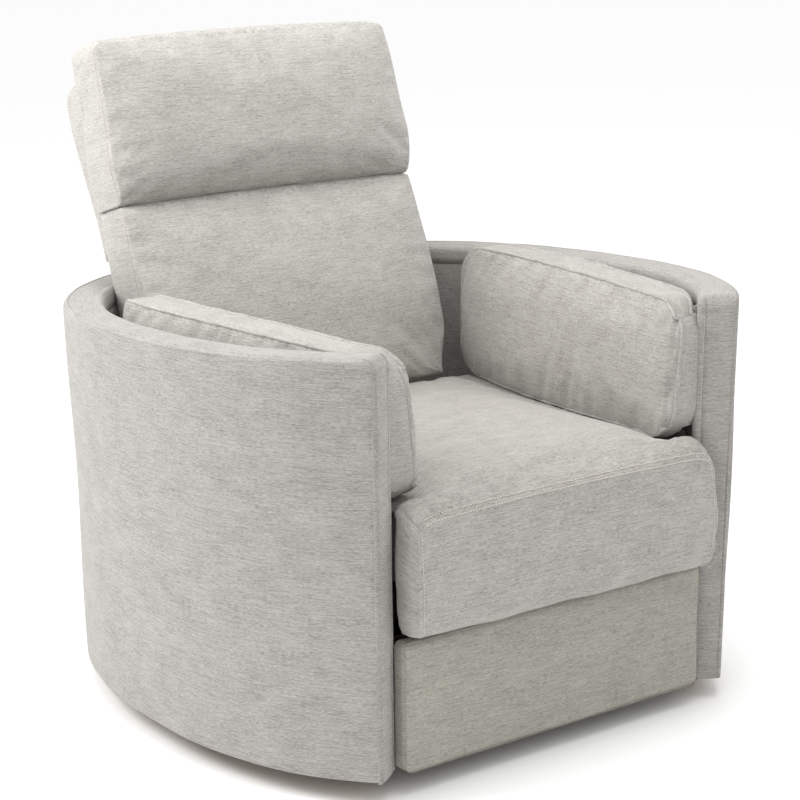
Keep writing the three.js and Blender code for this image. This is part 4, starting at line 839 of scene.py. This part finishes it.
for side, hand in ((1, "left"), (-1, "right")):
    skin, faces, facing = box_skin(
        np.concatenate([[-1, -.93, -.86], np.linspace(-.74, .74, 9), [.86, .93, 1]]),
        eased(PILLOW_FRONT, PILLOW_REAR, 0.0022, 0.0075, 0.022),
        eased(PILLOW_FOOT, PILLOW_HEAD, 0.0022, 0.0065, 0.022))
    shaped = pillow_shape(*skin.T) * [side, 1, 1]
    # The recline release stands between the seat and the right pillow, which is hollowed at its foot for it.
    pull_low, pull_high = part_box("release_pull")
    pull_middle = (pull_low[1] + pull_high[1]) / 2
    hollow = 0.012 * np.exp(-((shaped[:, 1] - pull_middle) / 0.036) ** 4) * (side < 0)
    fade = 1 - smooth(shaped[:, 2], pull_high[2] + 0.024, pull_high[2] + 0.062)
    hollow = hollow * fade * (1 - skin[:, 0]) / 2
    shaped[:, 0] -= hollow
    cloth = cloth_on_box(skin * [0.04, 1, 1], faces, facing, along_z=(1, 0)) + [0, side * 0.7]
    pillow = piece(f"arm_pillow_cover_{hand}", shaped, faces if side > 0 else faces[:, ::-1], cloth,
                   pillow_chenille, "carriage", [f"arm_pillow_{hand}"])
    settle(pillow, (np.abs(skin[:, 0]) < 0.999) | (hollow > 0.001), 2.4, 0.007, 0.012)
    loop_y, loop_z = pillow_loop(520)
    for name, face in (("inner", -1), ("outer", 1)):
        ideal = pillow_shape(np.full(520, face * 0.86), loop_y, loop_z) * [side, 1, 1]
        seam = on_cover(pillow, ideal)[0][:-1]
        core_y = np.clip(loop_y, PILLOW_FRONT + FACE_CORNER, PILLOW_REAR - FACE_CORNER)
        core_z = np.clip(loop_z, PILLOW_FOOT + FACE_CORNER, PILLOW_HEAD - FACE_CORNER)
        normal = np.stack([0 * loop_y, loop_y - core_y, loop_z - core_z], -1)
        normal = (normal / np.linalg.norm(normal, axis=1, keepdims=True))[:-1]
        felled_seam(f"arm_pillow_seam_{name}_{hand}", seam, normal, 0.0075, 0.0030, pillow_chenille,
                    "carriage")
        beside = seam - [side * face * 0.0046, 0, 0]
        stitches(f"arm_pillow_stitching_{name}_{hand}", beside, normal, 0.0046, 0.0011, "carriage")


# Footrest pad: a plain padded panel, foam on a plywood board that lies in a recess behind it. Its cloth turns
# back round all four edges of the board and is stapled there, and its two lower corners are rounded.
# Footrest chenille: the same cloth with its colour painted darker, as painted shade under the seat lip, so the
# panel reads as set back below the seat, and a little warmer in tone.
footrest_chenille = chenille("footrest_chenille_painted_darker", "#726f67", "#929087", "#a7a49b", 11.9)
low, high = np.array([-0.283, -0.389, 0.030]), np.array([0.283, -0.3575, 0.2265])
skin, faces, facing = box_skin(
    np.sort(np.concatenate([eased(low[0], high[0], 0.0018, 0.010, 0.0144), [-.2685, -.2665, .2665, .2685]])),
    np.concatenate([[-.389, -.387, -.384], np.linspace(-.380, -.366, 6), [-.363, -.360, -.3575]]),
    np.sort(np.concatenate([eased(low[2], high[2], 0.0018, 0.008, 0.0072), [.0385, .0395, .2145, .2155]])))
shaped = rounded(skin, low, high, 0.011)
x, y, z = shaped.T
LOWER_CORNER = 0.021
past, below = np.maximum(np.abs(x) - 0.262, 0), np.maximum(0.051 - z, 0)
off = np.hypot(past, below)
pull = np.maximum(off - LOWER_CORNER, 0) / np.maximum(off, 1e-9)
x, z = x - np.sign(x) * past * pull, z + below * pull
s, h = x / high[0], (z - 0.126) / 0.096
crown = 0.004 * np.maximum(1 - np.abs(s) ** 6, 0) * np.maximum(1 - np.abs(h) ** 4, 0)
ripple = 0.0008 * np.sin(x * 23 + 1) * np.sin(z * 37)
on_face = skin[:, 1] < -0.3885
y = y + np.where(on_face, -(crown + ripple) + 0.004, 0)
recess = (skin[:, 1] > -0.3576) & (np.abs(skin[:, 0]) < 0.2675) & (skin[:, 2] > 0.039) & (skin[:, 2] < 0.215)
BOARD_FACE = -0.3704
y = np.where(recess, BOARD_FACE, y)
footrest = piece(
    "footrest_cover", np.stack([x, y, z], -1), faces, cloth_on_box(skin, faces, facing), footrest_chenille,
    "foot_panel", ["footrest_pad"])


# Floor and light: a pale flat floor, a soft light high behind the sitter's right, another overhead, and an even
# bright room. Floor paint: matt white, which takes a soft shadow and gives no reflection.
floor_paint = bpy.data.materials.new("pale_floor_paint")
floor_paint.use_nodes = True
paint = floor_paint.node_tree.nodes["Principled BSDF"].inputs
paint["Base Color"].default_value, paint["Roughness"].default_value = (0.97, 0.97, 0.97, 1), 0.9
FLOOR_REACH, FLOOR_HEIGHT = 30, -0.001
mesh = bpy.data.meshes.new("floor")
mesh.from_pydata([(x * FLOOR_REACH, y * FLOOR_REACH, FLOOR_HEIGHT) for x, y in (
    (-1, -1), (1, -1), (1, 1), (-1, 1))], [], [(0, 1, 2, 3)])
mesh.materials.append(floor_paint)
floor = bpy.data.objects.new("floor", mesh)
bpy.context.collection.objects.link(floor)
world = bpy.data.worlds.new("studio")
world.use_nodes = True
room = world.node_tree.nodes["Background"].inputs
room["Color"].default_value, room["Strength"].default_value = (1, 1, 1, 1), 1.0
bpy.context.scene.world = world
for name, size, power, place, aim in (
        ("key_light", 1.5, 62, (-2.1, 1.1, 2.2), (0, 0.1, 0.6)),
        ("top_light", 1.8, 42, (0.1, -0.3, 3.0), (0, 0, 0.5))):
    lamp = bpy.data.objects.new(name, bpy.data.lights.new(name, "AREA"))
    lamp.data.size, lamp.data.energy = size, power
    bpy.context.collection.objects.link(lamp)
    beam = np.array(aim, float) - np.array(place)
    lamp.location = place
    lamp.rotation_euler = (math.acos(-beam[2] / np.linalg.norm(beam)), 0, math.atan2(-beam[0], beam[1]))
bpy.context.scene.view_settings.view_transform = "Standard"
